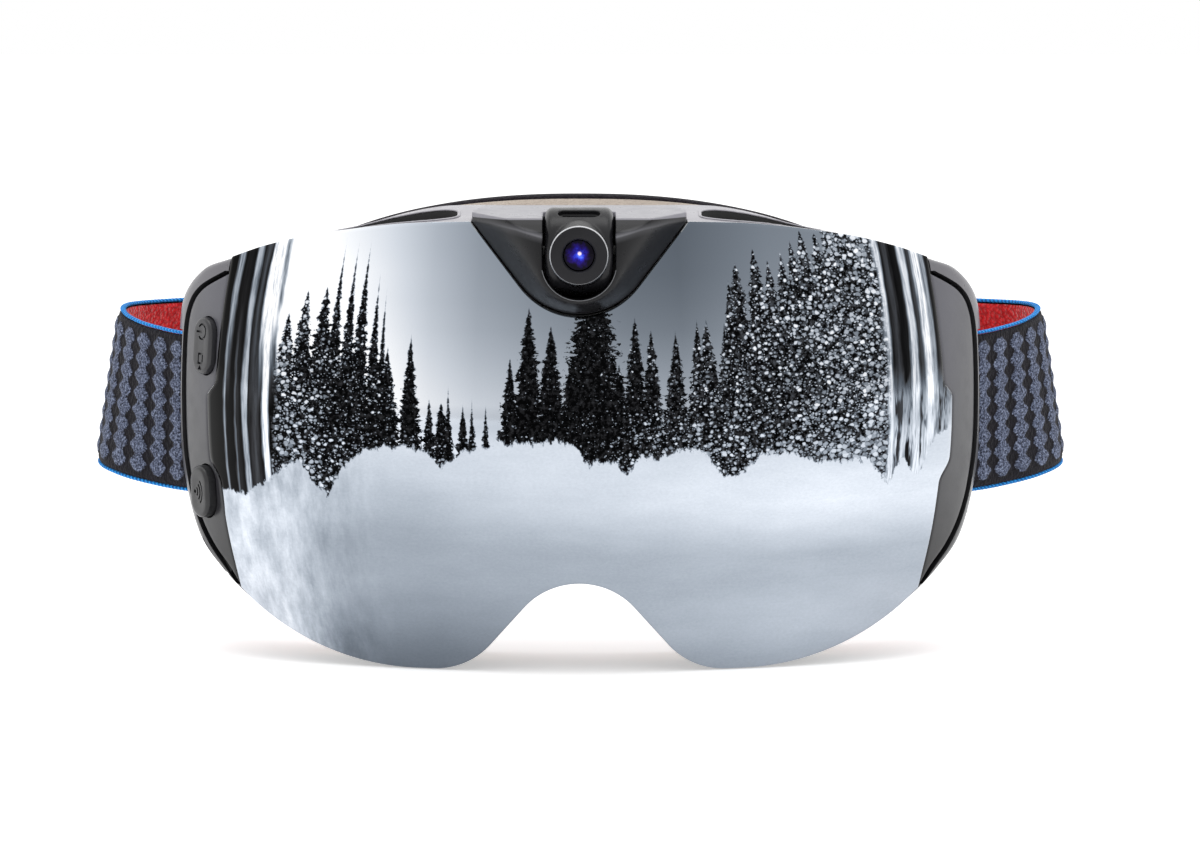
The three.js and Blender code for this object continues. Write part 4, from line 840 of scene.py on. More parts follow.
def webbing_look():
    """Knitted elastic: dark ground, and raised bobbles of speckled grey-blue yarn."""
    look = Look("knit_webbing", Roughness=0.9, Sheen_Weight=0.06, Sheen_Roughness=0.5, Specular_IOR_Level=0.25)
    yarn = look.cells(1500, vector=look.stretched(1.0, 1.0, 0.6))
    speck = look.noise(2100, 3, 0.7)
    ground = look.ramp(yarn, (0.1, "0c0b11"), (0.5, "17151d"), (0.85, "060509"))
    bobble = look.ramp(speck, (0.36, "14161f"), (0.46, "3d4356"), (0.58, "6c758d"), (0.74, "a4adc4"))
    edge = look.attribute("raised") + (speck - 0.5) * 0.6
    return look.finish(look.mix(look.span(edge, 0.22, 0.5), ground, bobble), None, (yarn, 0.25), (speck, 0.22))


def plain_webbing_look():
    """Flat woven webbing with a herringbone rib."""
    look = Look("flat_webbing", Roughness=0.85, Sheen_Weight=0.15, Specular_IOR_Level=0.25)
    x, _, z = look.axes()
    weave = ((x + z.math("PINGPONG", 2.2)) * 5.2).math("SINE")
    threads = look.noise(1800, 3, 0.6)
    colour = look.ramp(threads + weave * 0.14, (0.3, "14141c"), (0.6, "2a2b3a"), (0.85, "454759"))
    return look.finish(colour, None, (weave, 0.12), (threads, 0.12))


def terry_look():
    look = Look("terry_lining", Roughness=0.95, Sheen_Weight=0.4, Sheen_Roughness=0.45, Specular_IOR_Level=0.15)
    loops = look.cells(1100)
    tone = look.ramp(look.noise(260, 4, 0.65), (0.3, "d01a22"), (0.6, "ec2f34"), (0.85, "ff5a58"))
    colour = look.mix(look.span(loops, 0.3, 0.7, 0.0, 0.5), tone, "8c0d14")
    return look.finish(colour, None, (loops, 0.6), (look.noise(2200, 2, 0.6), 0.15))


def binding_look():
    """Overlocked edge: bright thread in slanting turns."""
    look = Look("overlock_thread", Roughness=0.6, Sheen_Weight=0.05, Specular_IOR_Level=0.25)
    turns = (look.attribute("run") * (2 * math.pi / THREAD_TURN)).math("SINE")
    fray = look.noise(1900, 3, 0.6)
    colour = look.ramp(turns * 0.3 + fray, (0.2, "0760b0"), (0.5, "0a8ce4"), (0.85, "30abff"))
    return look.finish(colour, None, (turns, 0.2), (fray, 0.1))


def board_look():
    look = Look("circuit_board", Roughness=0.4)
    traces = look.cells(420, "DISTANCE_TO_EDGE")
    return look.finish(look.mix(look.span(traces, 0.02, 0.06), "c39a4a", "0f5a35"), None, (traces, 0.05))


# Painted light and shade: each graphite lacquer runs from a dark foot colour to a light top colour.
GRAPHITE = graphite("graphite_lacquer", "111113", "56565e", edge=0.6)
FRAME_LOOK = graphite("graphite_frame", "2c2c30", "a19fa6", 0.3, 0.35, sides=0.6)
CHARCOAL = bezel_look()
DRUM_LOOK = moulding("drum_moulding", "131315", "1c1c1f", 0.28, grain=0.006, coat=0.04, shine=0.22)
BLACK = moulding("black_moulding", "0d0d0f", "19191b", 0.42)
RING_FACE = moulding("anodised_face", "19191b", "232326", 0.34, grain=0.006, metal=0.3, shine=0.2)
KEY_LOOK = graphite("key_lacquer", "131315", "2a2a2e", 0.36)
RUBBER = moulding("rubber", "161618", "232326", 0.62, grain=0.05, speck=1400)
PAD = moulding("gasket_rubber", "131215", "201e22", 0.8, grain=0.08, speck=1100)
STEEL = metal("brushed_steel", "c9cacc", 0.28)
CUT_EDGE = metal("cut_edge", "c8c9cc", 0.22, 2000, foot=0.7)
RIM_LINE = metal("rim_line", "68696c", 0.26, 2000)
NICKEL = metal("nickel", "d2d1cb", 0.24)
CELL = metal("cell_foil", "aab2ba", 0.35, 200)
FLEX = moulding("flex_circuit", "93591a", "b9761f", 0.45)
MESH_FOAM = foam_look("filter_foam", ("08080a", "0e0e10", "161619"), "060607")
MIRROR, LENS_EDGE, SMOKE, GLASS = mirror_look(), clear_edge_look(), smoke_look(), glass_look()
FOAM_LOOK = foam_look("open_cell_foam", ("a3968a", "b4a698", "c2b7aa"), "86746b")
FLEECE, KNIT, FLAT, TERRY, BINDING = fleece_look(), webbing_look(), plain_webbing_look(), terry_look(), binding_look()
BOARD = board_look()


# ---------------------------------------------------------------- lens unit
def steps(low, high, count):
    return [lerp(low, high, i / count) for i in range(count + 1)]


def lens_plate(name, grow, front, back, half_columns, rows):
    inner_steps = steps(0, NOTCH_TOP_X, int(half_columns * 0.4))
    half = sorted({*inner_steps, *steps(NOTCH_TOP_X, TOP_X, int(half_columns * 0.6))})
    columns = [-c for c in reversed(half[1:])] + half

    def point(column, v, side):
        x, z = lens_point(column, v, grow)
        return under(x, z, back if side else front)

    return plate(name, point, columns, steps(0, 1, rows))


lens = lens_plate("lens_mirror_sheet", 0, 0, LENS_THICK, 130, 110)
lens = bevelled(lens, 0.3, 2, 60)
for look in (MIRROR, LENS_EDGE, SMOKE):
    lens.data.materials.append(look)
for polygon in lens.data.polygons:
    cx, _, cz = (c / MM for c in polygon.center)
    facing = polygon.normal.dot(front_normal(max(min(cx, 90), -90), cz))
    polygon.material_index = 0 if facing > 0.9 else 2 if facing < -0.9 else 1
place(lens, "lens", "lens_mirror", [MIRROR, LENS_EDGE, SMOKE], ["outer_lens"], 40)


def fan_sheet(name, outline, centre, front, back, rings):
    """A curved sheet inside an outline, as rings from the centre out."""
    points, faces, n = [], [], len(outline)
    for side, depth in ((0, front), (1, back)):
        points.append(under(centre[0], centre[1], depth))
        for k in range(1, rings + 1):
            points += [under(lerp(centre[0], x, k / rings), lerp(centre[1], z, k / rings), depth) for x, z in outline]
    size = 1 + rings * n
    for base in (0, size):
        for j in range(n):
            faces.append((base, base + 1 + j, base + 1 + (j + 1) % n))
            for k in range(rings - 1):
                a = base + 1 + k * n
                faces.append((a + j, a + n + j, a + n + (j + 1) % n, a + (j + 1) % n))
    last = 1 + (rings - 1) * n
    faces += [(last + j, last + (j + 1) % n, size + last + (j + 1) % n, size + last + j) for j in range(n)]
    return make(name, points, faces)


inner = bevelled(fan_sheet("inner_lens_sheet", opening_outline(0.7, 264), (0, 8), 5.2, 6.2, 24), 0.2, 2, 60)
place(inner, "lens", "lens_clear", SMOKE, ["inner_lens"], 40)


# ---------------------------------------------------------------- frame
def frame_section(t):
    (ox, oz), (ix, iz) = frame_outer(t), frame_inner(t)
    width = math.hypot(ox - ix, oz - iz)

    def front(s, depth):
        x, z = lerp(ox, ix, s), lerp(oz, iz, s)
        return Vector((x, front_y(x, z) + COVER_RECESS + depth, z))

    def rear(s, lift):
        flare = FLARE * smooth((FLARE_END - abs(ox)) / FLARE_RAMP) if oz > 0 else 0
        x = lerp(ox - math.copysign(5 * abs(ox / 96) ** 4, ox), ix, s)
        return Vector((x, face_y(x) + lift, lerp(oz + flare, iz, s)))

    ring = [front(0, 1.3), front(0.12 / width, 0.75), front(0.4 / width, 0.3), front(0.85 / width, 0.07)]
    ring += [front(s, 0) for s in (1.4 / width, 0.25, 0.4, 0.55, 0.7, 0.85, 1)]
    ring += [rear(1, 0), rear(0.66, 0), rear(0.33, 0), rear(0.7 / width, 0), rear(0.2 / width, -0.2), rear(0, -0.8)]
    return ring


def cover_edges(grow, reach, count):
    """For rows from the cover's foot to its head: its inner and its outer edge, grown and drawn back."""
    foot, head = COVER_EDGE[0][0], COVER_EDGE[-1][0]
    edges = []
    for i, z in enumerate(steps(foot, head, count)):
        low, high = max(z - 0.3, foot), min(z + 0.3, head)
        slope = (cover_x(high) - cover_x(low)) / (high - low)
        length = math.hypot(1, slope)
        turn = abs(front_normal(cover_x(z), z).y)
        end = i in (0, count)
        inner_z = z + (math.copysign(grow, z) if end else 0)
        outer = (cover_x(z) + grow * turn / length, z - grow * slope / length)
        edges.append(((side_x(z) + FIT - reach, inner_z), outer))
    return edges


def cover_plate(name, grow, reach, front, back, shares, soften=0.0):
    edges = cover_edges(grow, reach, 110)

    def point(i, v, side):
        (x0, z0), (x1, z1) = edges[int(i)]
        x, z = lerp(x0, x1, v), lerp(z0, z1, v)
        depth = back if side else front
        if soften and not side:
            far, near = (1 - v) * (x1 - x0), v * (x1 - x0)
            for gap, r in ((far, soften), (near, soften * 0.5)):
                if gap < r:
                    depth += r - math.sqrt(max(r * r - (r - gap) ** 2, 0))
        return under(x, z, depth)

    return plate(name, point, range(len(edges)), shares)


def tongue(name, front, back, grow):
    def point(u, v, side):
        z = lerp(-31 - grow, 35 + grow, u)
        return under(lerp(side_x(z) - COVER_TONGUE - grow, side_x(z) + 1.6, v), z, back if side else front)

    return plate(name, point, steps(0, 1, 60), steps(0, 1, 6))


def disc(x, z, front, back, radius, segments=28):
    return rod("disc", under(x, z, front), under(x, z, back), radius, segments)


def screw_holes(z):
    x = side_x(z) - 3
    return [disc(x, z, 1, 3.4, 2), disc(x, z, 1, 9, 1.05)]


def surface_frame(x, z):
    """A working plane on the cover: +Z of the plane points out, +Y runs up the cover."""
    out = front_normal(x, z)
    side = Vector((0, 0, 1)).cross(out).normalized()
    up = out.cross(side)
    m = Matrix((side, up, out)).transposed().to_4x4()
    m.translation = under(x, z, 0)
    return m


def pill_ring(width, height, inset, level, count=14):
    r = width / 2 - inset
    ring = []
    for end in (1, -1):
        for i in range(count + 1):
            a = math.pi * i / count + (0 if end > 0 else math.pi)
            ring.append((r * math.cos(a), r * math.sin(a) + end * (height - width) / 2, level))
    return ring


def pill(name, width, height, levels, count=14):
    return loft(name, [pill_ring(width, height, inset, level, count) for inset, level in levels])


SPREAD = [0, 0.02, 0.045, 0.08, 0.13, 0.2, 0.35, 0.5, 0.65, 0.78, 0.86, 0.905, 0.94, 0.965, 0.985, 1]


def button_hole(spot):
    x, z, width, height, _ = spot
    return moved(pill("hole", width + 0.7, height + 0.7, [(0, -6), (0, 5)]), surface_frame(x, z))


port_out = Vector((0.683, 0, -0.73)).normalized()
port_along = Vector((0.583, 0.602, 0.545))
port_along = (port_along - port_out * port_along.dot(port_out)).normalized()
port_frame = Matrix((port_along, port_out.cross(port_along), port_out)).transposed().to_4x4()
port_frame.translation = Vector((84, 2.8, -32.3))


def port_box(x, half_x, half_y, z0, z1):
    return moved(box("port", x - half_x, x + half_x, -half_y, half_y, z0, z1), port_frame)


def vent_outline(x0, x1, z, half, count=40):
    near, far = [], []
    for i in range(count + 1):
        x = lerp(x0, x1, i / count)
        middle = (front_y(x, z) + face_y(x)) / 2 + 1
        reach = lerp(0.35, 1, math.sqrt(max(1 - (1 - 2 * i / count) ** 4, 0))) * half
        near.append((x, middle - reach))
        far.insert(0, (x, middle + reach))
    return near + far


def round_bead(name, path, wide, tall, closed):
    """A fine raised bead along a path; its section lies in the plane of the path's side and +Z."""
    path = np.array(path, float)
    if closed:
        run = np.roll(path, -1, axis=0) - np.roll(path, 1, axis=0)
    else:
        run = np.gradient(path, axis=0)
    run = unit_rows(run)
    up = np.array([0, 0, 1.0]) if abs(run[:, 2]).max() < 0.8 else np.array([0, -1.0, 0])
    side = np.cross(run, up)
    side = unit_rows(side)
    rings = [[p + s * wide * math.cos(a) + up * tall * math.sin(a) for a in circle(10)] for p, s in zip(path, side)]
    return loft(name, rings, closed=closed)


def notch_outline(gap, count):
    """The bezel's outline in six stretches, from its right top corner to the bottom."""
    r = NOTCH_R - gap
    tangent = NOTCH_TX * r / NOTCH_R
    foot = NOTCH_Z - math.sqrt(r * r - tangent * tangent)
    corner = BEZEL_CORNER - gap
    points = []
    for k in range(6 * count + 1):
        u = k / count
        if u < 1:
            points.append((corner, lerp(55.5, 51.8, u)))
        elif u < 3:
            points.append((lerp(corner, tangent, (u - 1) / 2), lerp(51.8, foot, (u - 1) / 2)))
        else:
            x = tangent * (1 - (u - 3) / 3)
            points.append((x, NOTCH_Z - math.sqrt(r * r - x * x)))
    return points


def recess_outline(count):
    points = []
    for k in range(6 * count + 1):
        u = k / count
        if u < 3:
            points.append((RECESS_HALF, lerp(55.5, RECESS_Z, (u / 3) ** 0.8)))
        else:
            a = (u - 3) / 3 * math.pi / 2
            points.append((RECESS_HALF * math.cos(a), RECESS_Z - RECESS_HALF * math.sin(a)))
    return points


def both_sides(half):
    return half + [(-x, z) for x, z in reversed(half[:-1])]


def bezel_plate(name, gap, back, front_lift, count=16):
    outer, rim = both_sides(notch_outline(gap, count)), both_sides(recess_outline(count))

    def point(i, s, side):
        (ox, oz), (rx, rz) = outer[int(i)], rim[int(i)]
        x, z = lerp(ox, rx, s), lerp(oz, rz, s)
        rise = math.sin(min(s / 0.92, 1) * math.pi / 2)
        front = lerp(front_y(ox, oz), BEZEL_RIM, rise) - front_lift
        return Vector((x, front_y(x, z) + back if side else front, z))

    return plate(name, point, range(len(outer)), steps(0, 1, 22))


def drum_hollow():
    return rod("hollow", (-RECESS_HALF, CAM_Y, CAM_Z), (RECESS_HALF, CAM_Y, CAM_Z), RECESS_DRUM, 96)


def ears(side):
    pin = rod("ear", (side * PIN_X, PIN_Y, -20.6), (side * PIN_X, PIN_Y, 27.4), 3.1, 40)
    x = sorted((side * 85.6, side * PIN_X))
    return join_all(pin, box("bridge", x[0], x[1], 9, PIN_Y, -20.6, 27.4))


def pod_hollow():
    front = [under(x, 0, 4) for x in (82.5, 86, 90, 94)]
    outline = [(p.x, p.y) for p in front]
    outline += [(front[3].x + 0.2, POD_REAR), (POD_WALL, POD_REAR), (POD_WALL, front[0].y - 0.8)]
    return prism("pod", outline, POD_Z0, POD_Z1, "z")


def frame_cutters():
    yield cover_plate("clear", COVER_GROOVE, COVER_TONGUE, -4, COVER_BACK + 1.4, SPREAD)
    yield tongue("clear", 1, 4.4, FIT)
    yield pod_hollow()
    yield box("pocket", 85.6, 110, 11, 50, -16.9, 23.7)
    yield rod("seat", (PIN_X, PIN_Y, -19), (PIN_X, PIN_Y, 25.8), PIN_R + GLUE, 32)
    yield prism("vent", vent_outline(*TOP_VENT), 34, 60, "z")
    yield prism("vent", vent_outline(*LOW_VENT), -60, -34, "z")
    for z in COVER_SCREWS:
        yield from screw_holes(z)
    for x, z in MAGNETS:
        yield disc(x, z, 1, 5.3, 2.3)
        yield disc(x, z, 1, 3.15, 2.35)


def frame_band(name):
    return loft(name, [frame_section(i / BAND_STEPS) for i in range(BAND_STEPS)], closed=True)


shell = frame_band("frame_shell")
join_all(shell, ears(1), ears(-1))
cut(shell, lens_plate("clear", FIT, -6, 2, 90, 60))
for cutter in frame_cutters():
    opposite = cutter.copy()
    opposite.data = cutter.data.copy()
    scene.collection.objects.link(opposite)
    cut(shell, cutter, mirrored(opposite))
socket_seats = (port_box(-2.6, 1.95, 4.8, -11.4, 0), port_box(3, 1.25, 6.1, -11.4, 0))
cut(shell, mirrored(join_all(port_box(0, 6.5, 6.6, -1.8, 8), *socket_seats)))
camera_hollow = [(-12, 37), (-8.5, 32.6), (8.5, 32.6), (12, 37), (12, 49.4), (-12, 49.4)]
cut(shell, prism("hollow", camera_hollow, -70, -25.5, "y"))
cut(shell, bezel_plate("clear", 0, BEZEL_DEPTH + FIT, 8), drum_hollow())
roof_cut = [(-26, -60), (26, -60), (25.4, -34), (22.9, -18.2), (-22.9, -18.2), (-25.4, -34)]
cut(shell, prism("clear", roof_cut, 51.2, 60, "z"))
shell.data.materials.clear()
for look in (FRAME_LOOK, BLACK):
    shell.data.materials.append(look)
# Walls below the frame's outer skin are black as painted shade in its grooves and hollows, and its rear face is
# black.
outside = frame_band("outside")
hull = BVHTree.FromObject(outside, bpy.context.evaluated_depsgraph_get())
for polygon in shell.data.polygons:
    nearest, normal, _, distance = hull.find_nearest(polygon.center)
    below = distance > 0.3 * MM and (polygon.center - nearest).dot(normal) < 0
    polygon.material_index = 1 if below or polygon.normal.y > 0.8 else 0
place(shell, "goggles", "graphite", [FRAME_LOOK, BLACK], ["face_frame"], 30)


skin = BVHTree.FromObject(shell, bpy.context.evaluated_depsgraph_get())
for side_name, sign in (("left", 1), ("right", -1)):
    path = []
    for x, y in vent_outline(*TOP_VENT[:3], TOP_VENT[3] + 0.15, 60):
        hit = skin.ray_cast(Vector((sign * x, y, 90)) * MM, Vector((0, 0, -1)))[0]
        path.append((sign * x, y, hit.z / MM + 0.02))
    lip = round_bead("vent_lip_" + side_name, path, 0.42, 0.26, True)
    place(lip, "goggles", "graphite", FRAME_LOOK, [], 60)


# ---------------------------------------------------------------- side covers and buttons
for side_name, sign in (("left", 1), ("right", -1)):
    cover = cover_plate("side_cover_" + side_name + "_shell", 0, 0, COVER_RECESS, COVER_BACK, SPREAD, 0.9)
    join_all(cover, tongue("tongue", 2.2, 4, 0))
    for z in COVER_SCREWS:
        cut(cover, *screw_holes(z))
    if sign < 0:
        cut(cover, button_hole(ROCKER), button_hole(WIFI))
        mirrored(cover)
    place(cover, "goggles", "graphite", GRAPHITE, ["side_cover_" + side_name], 30)


def arc_band(name, centre, radius, width, a0, a1, low, high, count=24):
    rings = []
    for i in range(count + 1):
        a = math.radians(lerp(a0, a1, i / count))
        c, s = math.cos(a), math.sin(a)
        ring = []
        for side, level in ((-1, low), (1, low), (1, high), (-1, high)):
            r = radius + side * width / 2
            ring.append((centre[0] + r * c, centre[1] + r * s, level))
        rings.append(ring)
    return loft(name, rings)


def button(name, spot, bevel, icons):
    x, z, width, height, proud = spot
    top = proud - COVER_RECESS
    levels = [(0, -5.0)]
    levels += [(bevel * (1 - math.cos(a)), top - bevel + bevel * math.sin(a)) for a in steps(0, math.pi / 2, 8)]
    levels += [(bevel + 0.9, top + 0.02), (bevel + 1.9, top - 0.06)]
    body = pill(name, width, height, levels, 24)
    for icon in icons(top):
        cut(body, icon)
    return mirrored(moved(body, surface_frame(x, z)))


# Icons lie on their side, as the goggles are set down on their strap; the button is then mirrored.
ICON_DEPTH, STROKE = 0.45, 0.5


def power_icons(top):
    low, high = top - ICON_DEPTH, top + 1
    yield arc_band("icon", (-0.2, 3.3), 1.75, STROKE, 38, 322, low, high, 32)
    yield box("icon", -0.1, 2.3, 3.3 - STROKE / 2, 3.3 + STROKE / 2, low, high)
    frame_box = box("icon", -1.2, 1.2, -4.4, -1.7, low, high)
    yield cut(frame_box, box("icon", -0.7, 0.7, -3.9, -2.2, low - 1, high + 1))
    yield prism("icon", [(0, -4.6), (1.0, -5.7), (-1.0, -5.7)], low, high, "z")


def wireless_icons(top):
    low, high = top - ICON_DEPTH, top + 1
    for radius in (1.3, 2.4, 3.5):
        yield arc_band("icon", (1.6, 0), radius, STROKE, 132, 228, low, high)
    yield rod("icon", (1.5, 0, low), (1.5, 0, high), 0.45, 20)


rocker = button("power_rocker_key", ROCKER, 0.8, power_icons)
place(rocker, "power_button", "black", KEY_LOOK, ["power_rocker"], 32)
wifi = button("wifi_key", WIFI, 0.9, wireless_icons)
place(wifi, "wifi_button_body", "black", KEY_LOOK, ["wifi_button"], 32)

flap = port_box(0, 6.2, 6.3, -1.5, 3)
flap.name = "port_flap"
combine(flap, outside, "INTERSECT")
cut(flap, port_box(-7.0, 2.3, 8, -0.15, 8))
bevelled(flap, 0.25, 2)
mirrored(flap)
place(flap, "port_flap", "rubber", RUBBER, ["port_cover"])


# ---------------------------------------------------------------- camera
def roof_z(y):
    return BEZEL_TOP + BEZEL_RISE * (y - CHAMFER_Y) / (BEZEL_REAR - CHAMFER_Y)


bezel = bezel_plate("bezel_shell", FIT, BEZEL_DEPTH, 0.1, 20)
join_all(bezel, prism("roof", [(-24.8, -34), (24.8, -34), (22.4, BEZEL_REAR), (-22.4, BEZEL_REAR)], 51.7, 57, "z"))
above = [(-70, roof_z(CHAMFER_Y) - 21.5 * CHAMFER), (CHAMFER_Y, BEZEL_TOP), (-15, roof_z(-15)), (-15, 70), (-70, 70)]
u_shape = [p for p in recess_outline(12) if p[1] < 54]
u_shape = [(RECESS_HALF, 60)] + u_shape + [(-x, z) for x, z in reversed(u_shape[:-1])] + [(-RECESS_HALF, 60)]
cut(bezel, prism("above", above, -40, 40, "x"), drum_hollow(), prism("recess", u_shape, -70, CAM_Y, "y"))
cut(bezel, rod("pins", (-11.6, CAM_Y, CAM_Z), (11.6, CAM_Y, CAM_Z), 1.8))
remeshed(bezel, 0.24, 5)
place(bezel, "goggles", "charcoal", CHARCOAL, ["camera_bezel"], 60)

# A fine light line runs round the recess below the barrel.
edge_line, spread = [], 1.03
for x, z in both_sides(recess_outline(14)):
    if z < 41.8:
        edge_line.append((x * spread, BEZEL_RIM - 0.02, RECESS_Z + (z - RECESS_Z) * spread))
edge_bead = round_bead("recess_edge_line", edge_line, 0.13, 0.11, False)
place(edge_bead, "goggles", "charcoal", RIM_LINE, [], 60)

# The drum: a roller with rounded rims, a tapered neck, the barrel and a thumb slot.
half = DRUM_W / 2
rims = [(0, -half), (DRUM_R - 1.7, -half), (DRUM_R - 0.9, -half + 0.25)]
rims += [(DRUM_R - 0.25, -half + 0.9), (DRUM_R, -half + 1.8)]
rims += [(r, -h) for r, h in reversed(rims)]
drum = turned("drum_shell", [(max(r, 0.001), h) for r, h in rims], 128, (0, 0, 0))
drum = moved(drum, Matrix.Translation((0, CAM_Y, CAM_Z)) @ Matrix.Rotation(math.pi / 2, 4, "Z"))
join_all(
    drum,
    rod("neck", (0, -50.5, CAM_Z), (0, -54.6, CAM_Z), 7.8, 96, BARREL_R),
    rod("barrel", (0, CAM_Y, CAM_Z), (0, CAM_FRONT + 2.1, CAM_Z), BARREL_R, 96),
)
slot_place = Matrix.Translation((0, CAM_Y, CAM_Z)) @ Matrix.Rotation(math.radians(27), 4, "X")
slot_shape = moved(
    pill("slot", 2.8, 9.6, [(0, DRUM_R - 1.4), (0, DRUM_R + 3)]),
    slot_place @ Matrix.Rotation(math.pi / 2, 4, "Z"),
)
cut(
    drum,
    slot_shape,
    rod("bore", (0, -47, CAM_Z), (0, -60, CAM_Z), 4.5, 64),
    box("pocket", -5, 5, -48, -33, CAM_Z - 5, CAM_Z + 5),
    rod("pins", (-9, CAM_Y, CAM_Z), (9, CAM_Y, CAM_Z), 1.8),
)
remeshed(drum, 0.2, 4)
place(drum, "camera", "charcoal", DRUM_LOOK, ["tilt_drum"], 60)

front = CAM_Y - CAM_FRONT
axis = (0, CAM_Y, CAM_Z)
ring_profile = [(4.6, front - 1.8), (RING_R, front - 1.8), (RING_R, front - 0.42), (RING_R - 0.03, front - 0.3)]
ring_profile += [(RING_R - 0.2, front - 0.03), (RING_R - 0.28, front), (4.0, front), (3.9, front - 0.08)]
ring_profile += [(3.62, front - 0.55), (3.62, front - 0.66), (4.6, front - 0.72)]
ring = turned("barrel_ring_turned", ring_profile, 128, axis)
for look in (RING_FACE, CUT_EDGE):
    ring.data.materials.append(look)
for polygon in ring.data.polygons:
    px, _, pz = (c / MM for c in polygon.center)
    reach = math.hypot(px, pz - CAM_Z)
    polygon.material_index = 1 if reach > RING_R - 0.26 and -0.999 < polygon.normal.y < -0.2 else 0
place(ring, "camera", "steel", [RING_FACE, CUT_EDGE], ["barrel_ring"], 25)

dome = [(4.3 * math.sin(a), front - 1.55 + 0.75 * math.cos(a)) for a in steps(0.001, math.pi / 2, 14)]
glass = turned("front_element", dome + [(4.3, front - 1.8), (0.001, front - 1.8)], 96, axis)
place(glass, "camera", "coated_glass", GLASS, ["cover_glass"], 50)


# ---------------------------------------------------------------- face foam
def wobble(x, y, z, size, seed=0.0):
    """A smooth, repeatable unevenness between -1 and 1."""
    return (
        math.sin(x / size * 2.1 + seed) * math.sin(z / size * 1.7 + 1.3 * seed + 0.7)
        + 0.6 * math.sin(y / size * 3.3 + x / size * 1.1 + 2.1 * seed)
    ) / 1.6


def foam_ring(name, low, high, widen, rounds, rough, stations=420):
    """A closed cushion round the face: a crowned section with rounded edges."""
    (front_round, rear_round), count = rounds, 8
    rings = []
    for i in range(stations):
        t = i / stations
        (ox, oz), (ix, iz) = foam_outer(t), foam_inner(t)
        width = math.hypot(ox - ix, oz - iz)
        rise = 1.6 * smooth((60 - abs(ox)) / 60) if oz > 0 else 0
        corners = []
        for (s_edge, inward, level, toward, r) in (
            (-widen, 1, low, 1, front_round), (-widen, 1, high, -1, rear_round),
            (1 + widen, -1, high, -1, rear_round), (1 + widen, -1, low, 1, front_round),
        ):
            arc = []
            for k in range(count + 1):
                a = k / count * math.pi / 2
                arc.append((s_edge + inward * r * (1 - math.cos(a)) / width, level + toward * r * (1 - math.sin(a))))
            corners.append(arc if (inward == 1) == (toward == -1) else arc[::-1])
        path = []
        for arc in corners:
            path += arc
        section = []
        for s, height in path:
            bulge = math.sin(math.pi * min(max((height - low) / (high - low), 0), 1)) * 0.35
            s += (-bulge if s < 0.5 else bulge) / width
            p = behind(lerp(ox, ix, s), lerp(oz, iz, s) + rise * (1 - s) * height / 16, height)
            section.append(p + Vector((0, 1, 0)) * wobble(p.x, p.y, p.z, rough[0]) * rough[1])
        rings.append(section)
    return loft(name, rings, closed=True)


foam_base = foam_ring("foam_base_ring", GLUE, 11.1, 0.0, (0.5, 1.1), (6.0, 0.05))
place(foam_base, "goggles", "foam_beige", FOAM_LOOK, ["foam_base"], 60)
fleece = foam_ring("fleece_ring", 11.5, 16.0, 0.03, (0.9, 2.0), (4.0, 0.12))
place(fleece, "goggles", "fleece", FLEECE, ["foam_fleece"], 60)


# ---------------------------------------------------------------- strap
def strap_plan(rear_y):
    return [
        (93, 17.2), (101, 24.3), (109, 31.8), (113.9, 40), (114.3, 49.5), (109.6, 60.5),
        (99, rear_y - 10.8), (84, rear_y - 3.4), (70, rear_y - 0.6), (STRAIGHT, rear_y),
    ]


def strap_stations(rear_y, pitch):
    """Stations (x, y, z, lean, distance) of the strap's middle surface, evenly spaced."""
    plan = strap_plan(rear_y)
    fine = []
    for i in range(1601):
        u = i / 1600
        x, y = catmull(plan, u)
        lean = LEAN * smooth(u / 0.35) * smooth((1 - u) / 0.4)
        fine.append((x, y, lerp(STRAP_Z, REAR_Z, smooth(u / 0.5)), lean))
    fine += [(lerp(STRAIGHT, STRAP_END_X, k / 600), rear_y, REAR_Z, 0.0) for k in range(1, 601)]
    fine = np.array(fine)
    gone = distances(fine[:, :2])
    wanted = np.linspace(0, gone[-1], int(round(gone[-1] / pitch)) + 1)
    return np.column_stack([np.interp(wanted, gone, fine[:, k]) for k in range(4)] + [wanted])


def strap_axes(stations):
    """For each station: its centre, the direction across (outwards) and the direction up the webbing."""
    xy = stations[:, :2]
    run = np.gradient(xy, axis=0)
    run = unit_rows(run)
    outward = np.column_stack([run[:, 1], -run[:, 0], np.zeros(len(xy))])
    up_z = np.array([0, 0, 1.0])
    lean = stations[:, 3:4]
    up = np.cos(lean) * up_z - np.sin(lean) * outward
    across = np.cos(lean) * outward + np.sin(lean) * up_z
    return stations[:, :3], across, up


BEAD_PITCH, COLUMN_PITCH, BEAD_ROWS = 4.2, 6.3, 8


def bead_height(gone, height):
    """How far the yarn bobbles stand at a place on the webbing, 0 to 1."""
    column = (gone - 4.4) / COLUMN_PITCH
    nearest = np.round(column)
    row = height / BEAD_PITCH + 0.5 * (BEAD_ROWS % 2 == 0)
    whole = np.round(row)
    swell = 0.76 + 0.24 * np.cos(2 * np.pi * (row - whole))
    du = (column - nearest) * COLUMN_PITCH / (2.85 * swell)
    outside = np.abs(height) > BEAD_PITCH * BEAD_ROWS / 2
    uneven = 0.07 * np.sin(nearest * 12.9898 + whole * 78.233)
    shape = np.clip(1 + uneven - np.abs(du) ** 2.2, 0, 1) ** 0.55 * swell
    return np.where(outside, 0, shape)


